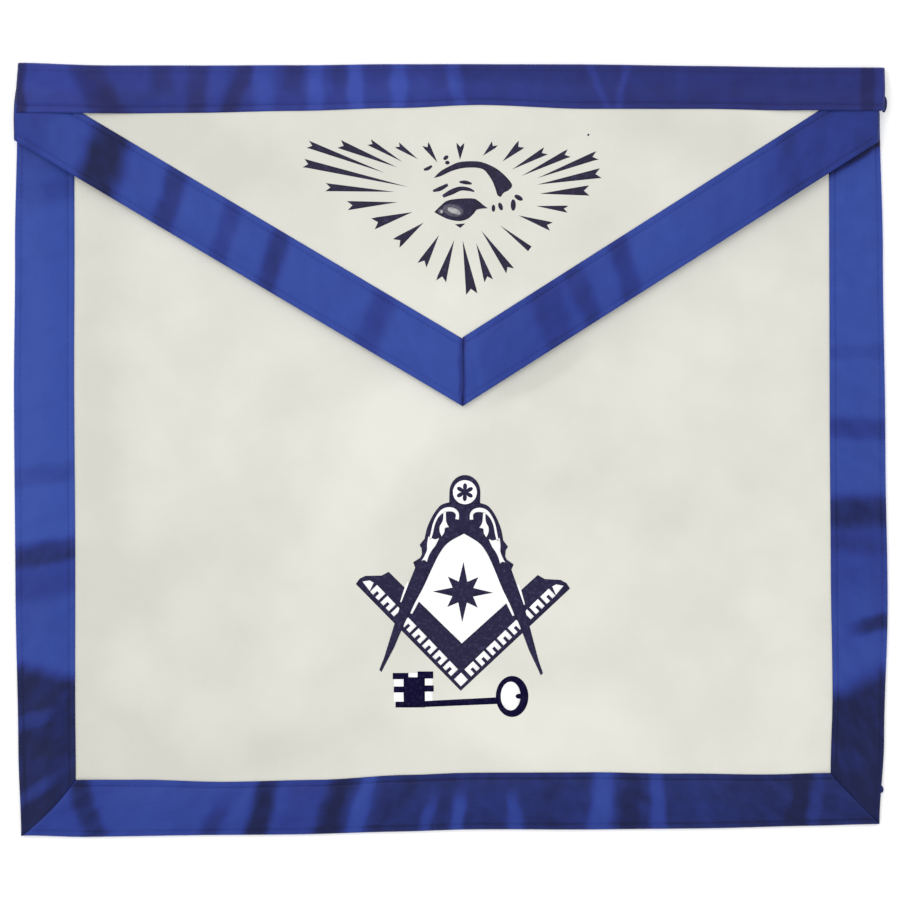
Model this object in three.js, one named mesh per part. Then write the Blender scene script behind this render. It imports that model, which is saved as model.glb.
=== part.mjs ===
// A white cloth lodge apron with satin ribbon borders, lying flat on its back, in millimetres.
// +X is to the wearer's left as the apron lies face up, +Y towards the waistband and +Z out of the
// face. The origin is on the surface that the apron lies on, under the middle of its outline.
import * as THREE from "three";

// Outline
const APRON_WIDTH = 406;
const APRON_LENGTH = 360;

// Ribbon borders: the part that shows on the face, and the part turned under the back
const RIBBON_FACE = 27;
const RIBBON_TURN = 11;
const WAISTBAND_FACE = 21;
const WAISTBAND_TURN = 20;

// Flap, measured down from the top edge, how far its tip lies off the middle, and how far its
// ends lie in from the outline
const FLAP_LENGTH = 160;
const FLAP_SIDE = 36.5;
const FLAP_TIP_SHIFT = 6;
const FLAP_LEFT_INSET = 0.7;
const FLAP_RIGHT_INSET = 2.8;

// Walls, the clearance between layers, and the hollow left inside a fold
const PANEL_WALL = 1.2;
const FLAP_WALL = 1.1;
const RIBBON_WALL = 1;
const LAYER_GAP = 0.35;
const FOLD_ROOM = 1;

// Soft form: how far the cloth sinks inside its borders, and the runs over which layers step up
const PANEL_SAG = 0.8;
const SAG_RUN = 42;
const STEP_RUN = 42;

// Soft form: the largest dent in the cloth, curl of the flap's edge and pucker of a ribbon
const DENT_LIFT = 1.3;
const DENT_SPREAD = 46;
const CURL_LIFT = 1.7;
const CURL_SPREAD = 34;
const PUCKER_LIFT = 0.9;
const PUCKER_SPREAD = 12;

// Facets along and across each piece
const PANEL_CELLS = { across: 24, down: 20 };
const FLAP_CELLS = { across: 26, down: 9 };
const SIDE_CELLS = 30;
const LONG_CELLS = 36;
const FLAP_RIBBON_CELLS = 24;
const FACE_CELLS = 4;
const FOLD_CELLS = 4;
const TURN_CELLS = 1;

const CLOTH_COLOUR = 0xe3e2d8;
const SATIN_COLOUR = 0x2f4a9f;

// Corners of the border, each measured in from its corner of the outline, in ribbon faces:
// "in" and "up" place the outer corner, "faceIn" and "faceUp" the corner of the white window.
const LOWER_LEFT = { in: 0.12, up: 0, faceIn: 1.07, faceUp: 0.97 };
const LOWER_RIGHT = { in: 0.14, up: 0.2, faceIn: 0.95, faceUp: 1.09 };
const UPPER_LEFT = { in: 0.05, faceIn: 1.04 };
const UPPER_RIGHT = { in: 0.095, faceIn: 0.98 };

// Ends of the waistband: in from the outline in ribbon faces, and the drop of its upper and lower
// corners in waistband faces.
const WAISTBAND_LEFT = { in: 0.06, top: 0, edge: 1.14 };
const WAISTBAND_RIGHT = { in: 0.02, top: 0.11, edge: 1.1 };

// How far each border wanders outwards from the straight line between its corners, as a share of
// its face: "outer" moves its folded edge and "inner" its sewn edge. "along" is a share of the run.
const LEFT_WANDER = [
  { along: 0, outer: 0, inner: 0 },
  { along: 0.19, outer: 0.05, inner: 0 },
  { along: 0.4, outer: 0.083, inner: 0.012 },
  { along: 0.66, outer: 0.075, inner: 0 },
  { along: 0.88, outer: 0.04, inner: 0.008 },
  { along: 1, outer: 0, inner: 0 },
];
const RIGHT_WANDER = [
  { along: 0, outer: 0, inner: 0 },
  { along: 0.12, outer: 0.08, inner: 0.036 },
  { along: 0.31, outer: 0.14, inner: 0.012 },
  { along: 0.53, outer: 0.1, inner: 0 },
  { along: 0.8, outer: 0.055, inner: 0 },
  { along: 1, outer: 0, inner: 0 },
];
const BOTTOM_WANDER = [
  { along: 0, outer: 0, inner: 0 },
  { along: 0.08, outer: 0.04, inner: 0.01 },
  { along: 0.2, outer: 0.035, inner: 0.06 },
  { along: 0.32, outer: 0.045, inner: 0.04 },
  { along: 0.44, outer: 0.02, inner: -0.03 },
  { along: 0.52, outer: 0, inner: -0.056 },
  { along: 0.68, outer: 0.03, inner: -0.046 },
  { along: 0.8, outer: 0.036, inner: -0.01 },
  { along: 0.92, outer: 0.016, inner: 0.02 },
  { along: 1, outer: 0, inner: 0 },
];
const WAISTBAND_WANDER = [
  { along: 0, outer: 0, inner: 0 },
  { along: 0.1, outer: 0, inner: 0.015 },
  { along: 0.21, outer: 0.018, inner: 0.064 },
  { along: 0.34, outer: 0.038, inner: 0.072 },
  { along: 0.47, outer: 0.03, inner: 0.164 },
  { along: 0.56, outer: 0.02, inner: 0.1 },
  { along: 0.68, outer: -0.016, inner: 0.04 },
  { along: 0.8, outer: -0.035, inner: 0 },
  { along: 0.9, outer: -0.044, inner: -0.015 },
  { along: 1, outer: 0, inner: 0 },
];

// Broad dents of the cloth: where each lies as shares of the apron's width and drop, its length
// and breadth in dent spreads, its turn in degrees and its lift in dent lifts.
const BODY_DENTS = [
  { across: 0.16, down: 0.62, length: 1.5, breadth: 0.7, turn: 70, lift: 0.7 },
  { across: 0.33, down: 0.86, length: 1.3, breadth: 0.6, turn: 15, lift: 0.8 },
  { across: 0.5, down: 0.72, length: 1.6, breadth: 0.9, turn: 5, lift: 0.6 },
  { across: 0.7, down: 0.84, length: 1.2, breadth: 0.5, turn: -65, lift: 1 },
  { across: 0.78, down: 0.62, length: 1.3, breadth: 0.6, turn: -50, lift: 0.8 },
  { across: 0.86, down: 0.45, length: 1, breadth: 0.5, turn: -55, lift: 0.6 },
];
const FLAP_DENTS = [
  { across: 0.27, down: 0.16, length: 1, breadth: 0.6, turn: -35, lift: 0.5 },
  { across: 0.51, down: 0.24, length: 1.3, breadth: 0.8, turn: 0, lift: 0.7 },
  { across: 0.74, down: 0.17, length: 0.9, breadth: 0.6, turn: 40, lift: 0.5 },
];

// Places where the flap's slanting edge curls up off the body: "along" runs from its tip to its
// side, and the reach inwards and the lift are in curl spreads and curl lifts.
const FLAP_CURLS = [
  { side: -1, along: 0.86, reach: 0.8, lift: 0.35 },
  { side: 1, along: 0.36, reach: 1.1, lift: 0.5 },
  { side: 1, along: 0.72, reach: 1.2, lift: 1 },
];

// Puckers of the satin: where each crosses its ribbon, as a share of the run, its breadth in
// pucker spreads, its slant as a breadth of lean across the face, and its lift in pucker lifts.
const LEFT_PUCKERS = [
  { along: 0.2, breadth: 1.6, slant: 0.4, lift: 0.5 },
  { along: 0.42, breadth: 1.3, slant: -0.5, lift: 0.6 },
  { along: 0.6, breadth: 1, slant: 0.8, lift: 0.8 },
  { along: 0.72, breadth: 1, slant: 0.8, lift: 1 },
  { along: 0.84, breadth: 0.8, slant: 0.3, lift: 0.8 },
];
const RIGHT_PUCKERS = [
  { along: 0.12, breadth: 0.9, slant: 0.5, lift: 0.8 },
  { along: 0.24, breadth: 1.1, slant: -0.8, lift: 1 },
  { along: 0.4, breadth: 1, slant: 0.7, lift: 0.9 },
  { along: 0.55, breadth: 0.9, slant: -0.4, lift: 0.7 },
  { along: 0.76, breadth: 1.5, slant: 0.2, lift: 0.5 },
];
const BOTTOM_PUCKERS = [
  { along: 0.14, breadth: 1, slant: -0.9, lift: 0.9 },
  { along: 0.29, breadth: 0.8, slant: 0.2, lift: 0.8 },
  { along: 0.36, breadth: 0.7, slant: 0.2, lift: 1 },
  { along: 0.5, breadth: 1, slant: 0.3, lift: 0.7 },
  { along: 0.66, breadth: 0.7, slant: 0.1, lift: 1 },
  { along: 0.8, breadth: 0.9, slant: 0.3, lift: 0.7 },
  { along: 0.91, breadth: 0.7, slant: 0.6, lift: 0.8 },
];
const WAISTBAND_PUCKERS = [
  { along: 0.12, breadth: 1.2, slant: 0.1, lift: 0.5 },
  { along: 0.3, breadth: 0.7, slant: 0.3, lift: 0.9 },
  { along: 0.41, breadth: 0.7, slant: -0.3, lift: 0.7 },
  { along: 0.52, breadth: 0.8, slant: 0.2, lift: 1 },
  { along: 0.6, breadth: 0.7, slant: -0.2, lift: 0.9 },
  { along: 0.72, breadth: 0.7, slant: 0.3, lift: 1 },
  { along: 0.81, breadth: 0.7, slant: 0.3, lift: 0.8 },
  { along: 0.89, breadth: 0.8, slant: -0.5, lift: 0.6 },
];
const FLAP_LEFT_PUCKERS = [
  { along: 0.2, breadth: 1, slant: 0.8, lift: 1 },
  { along: 0.36, breadth: 0.8, slant: 0.8, lift: 0.7 },
  { along: 0.52, breadth: 0.8, slant: 0.6, lift: 0.6 },
  { along: 0.8, breadth: 0.7, slant: 0.5, lift: 0.7 },
];
const FLAP_RIGHT_PUCKERS = [
  { along: 0.16, breadth: 0.9, slant: -0.4, lift: 0.8 },
  { along: 0.34, breadth: 1.1, slant: -0.6, lift: 0.8 },
  { along: 0.6, breadth: 1.3, slant: -0.5, lift: 0.5 },
];

// Shared measures
const MIDDLE_X = APRON_WIDTH / 2;
const LAYER = RIBBON_WALL + LAYER_GAP;
const FOLD_DEPTH = RIBBON_WALL + FOLD_ROOM;
const PANEL_INSET = FOLD_DEPTH + LAYER_GAP;
const yAtDrop = (drop) => APRON_LENGTH / 2 - drop;
const clamp = THREE.MathUtils.clamp;
const lerp = THREE.MathUtils.lerp;
const smooth = (t) => THREE.MathUtils.smoothstep(t, 0, 1);
const bell = (t) => Math.exp(-t * t);

// A column of a table at a share of its run, eased from each row to the next.
function readRow(rows, column, share) {
  const at = clamp(share, 0, 1);
  const next = Math.max(1, rows.findIndex((row) => row.along >= at));
  const before = rows[next - 1];
  const after = rows[next];
  const t = smooth((at - before.along) / (after.along - before.along));
  return lerp(before[column], after[column], t);
}

// A border's edge: straight from start to end, wandering outwards as its table says.
function edgeRun({ start, end, outward, rows, column, width }) {
  return (share) =>
    new THREE.Vector2()
      .lerpVectors(start, end, share)
      .addScaledVector(outward, width * readRow(rows, column, share));
}

const point = (x, y) => new THREE.Vector2(x, y);
const LEFTWARDS = point(-1, 0);
const RIGHTWARDS = point(1, 0);
const UPWARDS = point(0, 1);
const DOWNWARDS = point(0, -1);

// Corner points of the border: outer ones on the folded edge, window ones on the sewn edge
const atLeft = (faces) => -MIDDLE_X + faces * RIBBON_FACE;
const atRight = (faces) => MIDDLE_X - faces * RIBBON_FACE;
const atBottom = (faces) => yAtDrop(APRON_LENGTH) + faces * RIBBON_FACE;
const lowerLeft = point(atLeft(LOWER_LEFT.in), atBottom(LOWER_LEFT.up));
const lowerRight = point(atRight(LOWER_RIGHT.in), atBottom(LOWER_RIGHT.up));
const windowLeft = point(atLeft(LOWER_LEFT.faceIn), atBottom(LOWER_LEFT.faceUp));
const windowRight = point(atRight(LOWER_RIGHT.faceIn), atBottom(LOWER_RIGHT.faceUp));

// Corner points of the waistband
const waistPoint = (x, faces) => point(x, yAtDrop(faces * WAISTBAND_FACE));
const waistLeftX = atLeft(WAISTBAND_LEFT.in);
const waistRightX = atRight(WAISTBAND_RIGHT.in);
const waistTopLeft = waistPoint(waistLeftX, WAISTBAND_LEFT.top);
const waistTopRight = waistPoint(waistRightX, WAISTBAND_RIGHT.top);
const waistEdgeLeft = waistPoint(waistLeftX, WAISTBAND_LEFT.edge);
const waistEdgeRight = waistPoint(waistRightX, WAISTBAND_RIGHT.edge);

// The side ribbons start just below the waistband's sewn edge.
const upperLeft = point(atLeft(UPPER_LEFT.in), waistEdgeLeft.y - LAYER_GAP);
const upperRight = point(atRight(UPPER_RIGHT.in), waistEdgeRight.y - LAYER_GAP);
const upperFaceLeft = point(atLeft(UPPER_LEFT.faceIn), upperLeft.y);
const upperFaceRight = point(atRight(UPPER_RIGHT.faceIn), upperRight.y);

// Each border runs anticlockwise round the apron as its face is seen.
function border(corners, outward, rows, width) {
  const shared = { outward, rows, width };
  return {
    outer: edgeRun({ ...shared, start: corners[0], end: corners[1], column: "outer" }),
    inner: edgeRun({ ...shared, start: corners[2], end: corners[3], column: "inner" }),
    width,
  };
}
const leftBorder = border(
  [upperLeft, lowerLeft, upperFaceLeft, windowLeft],
  LEFTWARDS,
  LEFT_WANDER,
  RIBBON_FACE,
);
const bottomBorder = border(
  [lowerLeft, lowerRight, windowLeft, windowRight],
  DOWNWARDS,
  BOTTOM_WANDER,
  RIBBON_FACE,
);
const rightBorder = border(
  [lowerRight, upperRight, windowRight, upperFaceRight],
  RIGHTWARDS,
  RIGHT_WANDER,
  RIBBON_FACE,
);
const topBorder = border(
  [waistTopRight, waistTopLeft, waistEdgeRight, waistEdgeLeft],
  UPWARDS,
  WAISTBAND_WANDER,
  WAISTBAND_FACE,
);

// The flap's slanting edges, from its sides down to its tip
const flapTip = point(FLAP_TIP_SHIFT, yAtDrop(FLAP_LENGTH));
const flapLeft = point(-MIDDLE_X + FLAP_LEFT_INSET, yAtDrop(FLAP_SIDE));
const flapRight = point(MIDDLE_X - FLAP_RIGHT_INSET, yAtDrop(FLAP_SIDE));
// Measured straight up, a band along a slanting edge is longer than it is wide.
function upright(width, corner) {
  const run = Math.abs(flapTip.x - corner.x);
  const fall = corner.y - flapTip.y;
  return (width * Math.hypot(run, fall)) / run;
}
const flapCorner = (x) => (x < flapTip.x ? flapLeft : flapRight);
function flapEdgeY(x) {
  const corner = flapCorner(x);
  return lerp(flapTip.y, corner.y, (x - flapTip.x) / (corner.x - flapTip.x));
}

// Heights of the cloth. Each layer rests on the one below it, a gap apart.
function dentLift(dents, x, y) {
  return dents.reduce((sum, dent) => {
    const offset = point(
      x - (dent.across - 0.5) * APRON_WIDTH,
      y - yAtDrop(dent.down * APRON_LENGTH),
    ).rotateAround(point(0, 0), -THREE.MathUtils.degToRad(dent.turn));
    const length = dent.length * DENT_SPREAD;
    const breadth = dent.breadth * DENT_SPREAD;
    const share = bell(offset.x / length) * bell(offset.y / breadth);
    return sum + dent.lift * DENT_LIFT * share;
  }, 0);
}
// 0 over the turned ribbons and 1 well inside them
function insideBorders(x, y) {
  const fromSide = MIDDLE_X - Math.abs(x) - RIBBON_TURN;
  const fromEnd = Math.min(y - yAtDrop(APRON_LENGTH), yAtDrop(0) - y) - RIBBON_TURN;
  return smooth(fromSide / SAG_RUN) * smooth(fromEnd / SAG_RUN);
}
function bodyUnder(x, y) {
  const soft = dentLift(BODY_DENTS, x, y) - PANEL_SAG;
  return LAYER + soft * insideBorders(x, y);
}
const bodyTop = (x, y) => bodyUnder(x, y) + PANEL_WALL;

// The flap steps down into the waistband, from above where its turned ribbon ends.
const FLAP_RAMP = Math.min(
  WAISTBAND_FACE,
  FLAP_SIDE - upright(RIBBON_TURN, flapLeft),
  FLAP_SIDE - upright(RIBBON_TURN, flapRight),
);
const belowWaistband = (y) => smooth((yAtDrop(0) - y) / FLAP_RAMP);
// 1 over the side ribbons' faces, easing to 0 inside them
function overSideRibbon(x) {
  const faces = Math.max(UPPER_LEFT.faceIn, UPPER_RIGHT.faceIn);
  const inward = MIDDLE_X - Math.abs(x) - faces * RIBBON_FACE;
  return 1 - smooth(inward / STEP_RUN);
}
function curlLift(x, y) {
  return FLAP_CURLS.reduce((sum, curl) => {
    const corner = curl.side < 0 ? flapLeft : flapRight;
    const centre = point(0, 0).lerpVectors(flapTip, corner, curl.along);
    const reach = curl.reach * CURL_SPREAD;
    return sum + curl.lift * CURL_LIFT * bell(centre.distanceTo(point(x, y)) / reach);
  }, 0);
}
function flapUnder(x, y) {
  const soft = dentLift(FLAP_DENTS, x, y) + curlLift(x, y);
  const steps = LAYER * (1 + overSideRibbon(x)) + soft;
  return bodyTop(x, y) + LAYER_GAP + steps * belowWaistband(y);
}
const flapTop = (x, y) => flapUnder(x, y) + FLAP_WALL;

// The waistband's face steps up over the flap ribbons' ends, which reach under it.
function overFlapRibbon(x, y) {
  const ribbonY = flapEdgeY(x) + upright(RIBBON_FACE, flapCorner(x));
  return smooth((ribbonY - y) / (STEP_RUN / 2) + 1);
}

// A border's face rests on what it covers; its turn lies on the surface under the apron.
const bodyFace = (x, y) => bodyTop(x, y) + LAYER_GAP;
const bodyTurn = () => RIBBON_WALL;
const flapFace = (x, y) => flapTop(x, y) + LAYER_GAP;
const flapTurn = (x, y) => flapUnder(x, y) - LAYER_GAP;
const waistFace = (x, y) => flapFace(x, y) + LAYER * overFlapRibbon(x, y);

// A closed sheet of cells: place gives each corner's point from its share across, down and
// through the cloth.
function clothSheet(cellsAcross, cellsDown, place) {
  const sheet = new THREE.BoxGeometry(1, 1, 1, cellsAcross, cellsDown, 1);
  const { position } = sheet.attributes;
  for (let i = 0; i < position.count; i += 1) {
    const across = 0.5 + position.getX(i);
    const down = 0.5 - position.getY(i);
    const through = 0.5 + position.getZ(i);
    position.setXYZ(i, ...place(across, down, through));
  }
  sheet.computeVertexNormals();
  return sheet;
}

function bodyPanel() {
  const top = yAtDrop(0) - PANEL_INSET;
  const bottom = yAtDrop(APRON_LENGTH);
  return clothSheet(PANEL_CELLS.across, PANEL_CELLS.down, (across, down, through) => {
    const level = lerp(top, bottom, down);
    const leftShare = (upperLeft.y - level) / (upperLeft.y - lowerLeft.y);
    const rightShare = (level - lowerRight.y) / (upperRight.y - lowerRight.y);
    const left = leftBorder.outer(leftShare).x + PANEL_INSET;
    const right = rightBorder.outer(rightShare).x - PANEL_INSET;
    const x = lerp(left, right, across);
    const topY = topBorder.outer(1 - across).y - PANEL_INSET;
    const bottomY = bottomBorder.outer(across).y + PANEL_INSET;
    const y = lerp(topY, bottomY, down);
    return [x, y, bodyUnder(x, y) + through * PANEL_WALL];
  });
}

function flapPanel() {
  const left = flapLeft.x + LAYER_GAP;
  const right = flapRight.x - LAYER_GAP;
  return clothSheet(FLAP_CELLS.across, FLAP_CELLS.down, (across, down, through) => {
    // The cells are narrow at the sides, where the flap steps over the side ribbons.
    const fromMiddle = Math.abs(2 * across - 1);
    const spread = lerp(fromMiddle, Math.sin((fromMiddle * Math.PI) / 2), 0.5);
    const x = lerp(flapTip.x, across < 0.5 ? left : right, spread);
    const topY = topBorder.outer(1 - across).y - PANEL_INSET;
    const bottomY = flapEdgeY(x) + upright(PANEL_INSET, flapCorner(x));
    const y = lerp(topY, bottomY, down);
    return [x, y, flapUnder(x, y) + through * FLAP_WALL];
  });
}

// Lift of a border's puckers, most in the middle of its face and none at its edges.
function puckerLift(puckers, length, along, faceShare) {
  const crown = Math.sin(Math.PI * clamp(faceShare, 0, 1));
  return puckers.reduce((sum, pucker) => {
    const breadth = pucker.breadth * PUCKER_SPREAD;
    const lean = pucker.slant * breadth * (faceShare - 0.5) * 2;
    const away = (along - pucker.along) * length - lean;
    return sum + pucker.lift * PUCKER_LIFT * crown * bell(away / breadth);
  }, 0);
}

// A ribbon folded over an edge: its face from the sewn edge out to the fold, and its turn back
// under. faceUnder and turnTop give the heights between which the wrapped cloth lies.
function foldedRibbon({ run, turn, cells, puckers, faceUnder, turnTop, gapStart, gapEnd }) {
  const length = run.outer(0).distanceTo(run.outer(1));
  const rows = FACE_CELLS + FOLD_CELLS + TURN_CELLS;
  const onPlan = (along, inward) => {
    const share = lerp(gapStart / length, 1 - gapEnd / length, along);
    return run.outer(share).lerp(run.inner(share), inward / run.width);
  };
  return clothSheet(cells, rows, (along, across, through) => {
    const row = across * rows;
    if (row <= FACE_CELLS) {
      const inward = lerp(run.width, FOLD_DEPTH, row / FACE_CELLS);
      const { x, y } = onPlan(along, inward);
      const pucker = puckerLift(puckers, length, along, inward / run.width);
      return [x, y, faceUnder(x, y) + pucker + through * RIBBON_WALL];
    }
    if (row < FACE_CELLS + FOLD_CELLS) {
      const angle = ((row - FACE_CELLS) / FOLD_CELLS) * Math.PI;
      const start = onPlan(along, FOLD_DEPTH);
      const pucker = puckerLift(puckers, length, along, FOLD_DEPTH / run.width);
      const high = faceUnder(start.x, start.y) + pucker;
      const low = turnTop(start.x, start.y);
      const bulge = (FOLD_ROOM + through * RIBBON_WALL) * Math.sin(angle);
      const { x, y } = onPlan(along, FOLD_DEPTH - bulge);
      const rise = ((high - low) / 2 + through * RIBBON_WALL) * Math.cos(angle);
      return [x, y, (high + low) / 2 + rise];
    }
    const past = (row - FACE_CELLS - FOLD_CELLS) / TURN_CELLS;
    const { x, y } = onPlan(along, lerp(FOLD_DEPTH, turn, past));
    return [x, y, turnTop(x, y) - through * RIBBON_WALL];
  });
}

function bodyRibbon(run, cells, puckers, gapStart, gapEnd) {
  const heights = { faceUnder: bodyFace, turnTop: bodyTurn };
  return foldedRibbon({ run, turn: RIBBON_TURN, cells, puckers, gapStart, gapEnd, ...heights });
}

function flapRibbon(start, end, puckers, gaps) {
  const corner = start === flapTip ? end : start;
  const shift = point(0, upright(RIBBON_FACE, corner));
  const run = {
    outer: (share) => start.clone().lerp(end, share),
    inner: (share) => start.clone().lerp(end, share).add(shift),
    width: RIBBON_FACE,
  };
  return foldedRibbon({
    run,
    turn: RIBBON_TURN,
    cells: FLAP_RIBBON_CELLS,
    puckers,
    faceUnder: flapFace,
    turnTop: flapTurn,
    gapStart: gaps.start,
    gapEnd: gaps.end,
  });
}

function waistband() {
  return foldedRibbon({
    run: topBorder,
    turn: WAISTBAND_TURN,
    cells: LONG_CELLS,
    puckers: WAISTBAND_PUCKERS,
    faceUnder: waistFace,
    turnTop: bodyTurn,
    gapStart: 0,
    gapEnd: 0,
  });
}

const cloth = new THREE.MeshStandardMaterial({
  color: CLOTH_COLOUR,
  roughness: 0.85,
  metalness: 0,
});
const satin = new THREE.MeshStandardMaterial({
  color: SATIN_COLOUR,
  roughness: 0.35,
  metalness: 0,
});

const MITRE_GAP = LAYER_GAP / 2;
const pieces = {
  body_panel: [bodyPanel(), cloth],
  flap_panel: [flapPanel(), cloth],
  side_ribbon_left: [
    bodyRibbon(leftBorder, SIDE_CELLS, LEFT_PUCKERS, 0, MITRE_GAP),
    satin,
  ],
  side_ribbon_right: [
    bodyRibbon(rightBorder, SIDE_CELLS, RIGHT_PUCKERS, MITRE_GAP, 0),
    satin,
  ],
  bottom_ribbon: [
    bodyRibbon(bottomBorder, LONG_CELLS, BOTTOM_PUCKERS, MITRE_GAP, MITRE_GAP),
    satin,
  ],
  flap_ribbon_left: [
    flapRibbon(flapLeft, flapTip, FLAP_LEFT_PUCKERS, { start: 0, end: MITRE_GAP }),
    satin,
  ],
  flap_ribbon_right: [
    flapRibbon(flapTip, flapRight, FLAP_RIGHT_PUCKERS, { start: MITRE_GAP, end: 0 }),
    satin,
  ],
  waistband: [waistband(), satin],
};

const apron = new THREE.Group();
for (const [name, [geometry, material]] of Object.entries(pieces)) {
  const mesh = new THREE.Mesh(geometry, material);
  mesh.name = name;
  apron.add(mesh);
}

// The origin goes to the middle of the outline, on the surface that the apron lies on.
const outline = new THREE.Box3().setFromObject(apron);
const middle = outline.getCenter(new THREE.Vector3());
apron.position.set(-middle.x, -middle.y, -outline.min.z);

export default apron;
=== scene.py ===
"""A white cloth lodge apron with satin ribbon borders and printed figures, lying on a pale floor.

Lengths are in metres unless a comment says millimetres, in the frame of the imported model: +X to the
right as the face is seen, +Y towards the waistband and +Z up out of the face.
"""
import math
from collections import namedtuple

import bmesh
import bpy
from mathutils import Matrix, Vector, noise
from mathutils.geometry import interpolate_bezier


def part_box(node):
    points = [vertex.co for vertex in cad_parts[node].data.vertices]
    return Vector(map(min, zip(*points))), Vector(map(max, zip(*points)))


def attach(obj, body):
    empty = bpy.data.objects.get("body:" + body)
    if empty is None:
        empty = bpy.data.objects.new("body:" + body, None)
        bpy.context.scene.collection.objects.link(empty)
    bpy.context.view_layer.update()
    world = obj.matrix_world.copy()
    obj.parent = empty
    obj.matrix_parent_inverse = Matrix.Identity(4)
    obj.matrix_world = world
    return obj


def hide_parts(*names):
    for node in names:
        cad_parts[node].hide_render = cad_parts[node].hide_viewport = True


bl_info = {
    "name": "Lodge apron",
    "version": (1, 0, 0),
    "blender": (4, 5, 0),
    "location": "3D View > Sidebar > Apron",
    "description": "Makes a white cloth apron with satin ribbon borders and printed figures",
    "category": "Add Mesh",
}

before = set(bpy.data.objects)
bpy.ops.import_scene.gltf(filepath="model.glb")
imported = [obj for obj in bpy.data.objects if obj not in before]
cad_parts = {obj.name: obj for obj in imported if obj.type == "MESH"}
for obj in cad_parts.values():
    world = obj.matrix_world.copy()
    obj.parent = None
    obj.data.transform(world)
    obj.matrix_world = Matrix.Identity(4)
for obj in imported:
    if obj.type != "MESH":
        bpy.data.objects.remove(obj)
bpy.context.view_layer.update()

MM = 0.001

# Spacing of the cloth's vertices and of the cuts that let a printed figure follow the cloth, sides
# and rings of a stitch, halvings of a tuck's faces, and steps along the waistband's upper edge
CLOTH_CELL = 2.5 * MM
RIBBON_CELL_ALONG = 1.2 * MM
RIBBON_CELL_ACROSS = 0.75 * MM
PRINT_CELL = 5 * MM
STITCH_SIDES = 6
STITCH_RINGS = 4
TUCK_HALVINGS = 3
CREST_STEPS = 100

# Clearance between layers and the hollow left in a fold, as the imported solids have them
LAYER_GAP = 0.35 * MM
FOLD_ROOM = 1 * MM
SOLID_RIBBON_WALL = 1 * MM
LAYER = SOLID_RIBBON_WALL + LAYER_GAP
FOLD_DEPTH = SOLID_RIBBON_WALL + FOLD_ROOM
PANEL_INSET = FOLD_DEPTH + LAYER_GAP
FLAP_INSET = 2.5 * MM

# How close a ribbon's turned part lies to the ground under the body, and to the flap's underside
GROUND_GAP = 0.02 * MM
TURN_GAP = 0.1 * MM

# A print's depth in the cloth, the thickness of each printed layer, steps from one point of a curve
# to the next, and sides of the prints' dots and rounds
PRINT_SINK = 0.02 * MM
PRINT_LAYER = 0.02 * MM
CURVE_STEPS = 5
PETAL_STEPS = 12
DOT_SIDES = 14
SPOT_SIDES = 28
HOLLOW_SIDES = 36
ROUND_SIDES = 40

# Satin: its sheen, and its streaks along the threads and cloudy patches, in shares of its tone
SATIN_ROUGHNESS = 0.42
SATIN_SPECULAR = 0.12
SATIN_ANISOTROPY = 0.6
THREAD_RUN = 70
THREAD_PITCH = 2600
STREAK_DETAIL = 3
STREAK_PLAY = 0.07
CLOUD_SCALE = 110
CLOUD_DETAIL = 4
CLOUD_PLAY = 0.2
THREAD_BUMP = 0.35
THREAD_DEPTH = 0.04 * MM

# White cloth: its sheen, its weave, whose waves are a wave unit long at a scale of 1, its mottle, and
# the specks of wear on its prints
MATTE = 0.9
CLOTH_SPECULAR = 0.1
WEAVE_PITCH = 0.55 * MM
WEAVE_BUMP = 0.4
WEAVE_DEPTH = 0.05 * MM
WEAVE_WAVER = 0.6
WAVE_UNIT = 0.3142
MOTTLE_SCALE = 34
MOTTLE_DETAIL = 5
MOTTLE_PLAY = 0.45
SPECK_SCALE = 700
SPECK_DETAIL = 3
WEAR_START = 0.5
WEAR_FULL = 0.85

# Camera that looks straight down with the photograph's frame, the stage's lights, each with its
# name, place, side and power, and its floor
PHOTO_MM_PER_PX = 0.4666
PHOTO_SIDE = 900
CAMERA_LENS = 100
SENSOR = 36
WORLD_STRENGTH = 0.86
KEY_LIGHT = ("key light", (-0.7, 0.5, 1.3), 1.1, 6)
FILL_LIGHT = ("fill light", (0.9, 0.2, 1.2), 1, 2)
FLOOR_SIDE = 8
FLOOR_DROP = 0.1 * MM
FLOOR_GLOW = 0.12

# Soft form of the cloth: runs over which it sinks and steps, and the units of its tables
PANEL_SAG = 0.8 * MM
SAG_RUN = 42 * MM
STEP_RUN = 42 * MM
DENT_LIFT = 1.3 * MM
PATCH_SPREAD = 46 * MM
CURL_LIFT = 1.7 * MM
CURL_SPREAD = 34 * MM
PUCKER_LIFT = 0.9 * MM
PUCKER_SPREAD = 12 * MM

# Soft form of a ribbon at and between its rows of stitches, and how far a thread rises out of its
# groove, as a share of its radius
LOFT = 0.45 * MM
EDGE_PRESS = 0.3 * MM
GROOVE_DEPTH = 0.22 * MM
GROOVE_SPREAD = 0.55 * MM
TENSION_LIFT = 0.16 * MM
TENSION_REACH = 5 * MM
TENSION_PITCH = 5.5 * MM
RIPPLE_LIFT = 0.22 * MM
RIPPLE_PITCH = 16 * MM
RIPPLE_SEED = 7
WAVER = 1.3 * MM
WAVER_PITCH = 9 * MM
THREAD_RISE = 0.4

# How many breadths a pucker reaches, and how far past the middle one that keeps to its side goes
PUCKER_REACH = 3
SIDE_MARGIN = 0.15

# Tones of the satin's painted shade and sheen: what is left of a pucker's at the edges, the
# painted shade that grooves take away, how much darker the stitches are, and the painted shade
# of the small tucks
EDGE_TONE = 0.9
GROOVE_TONE = 0.12
STITCH_TONE = 0.06
TUCK_TONE = 0.1

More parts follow.
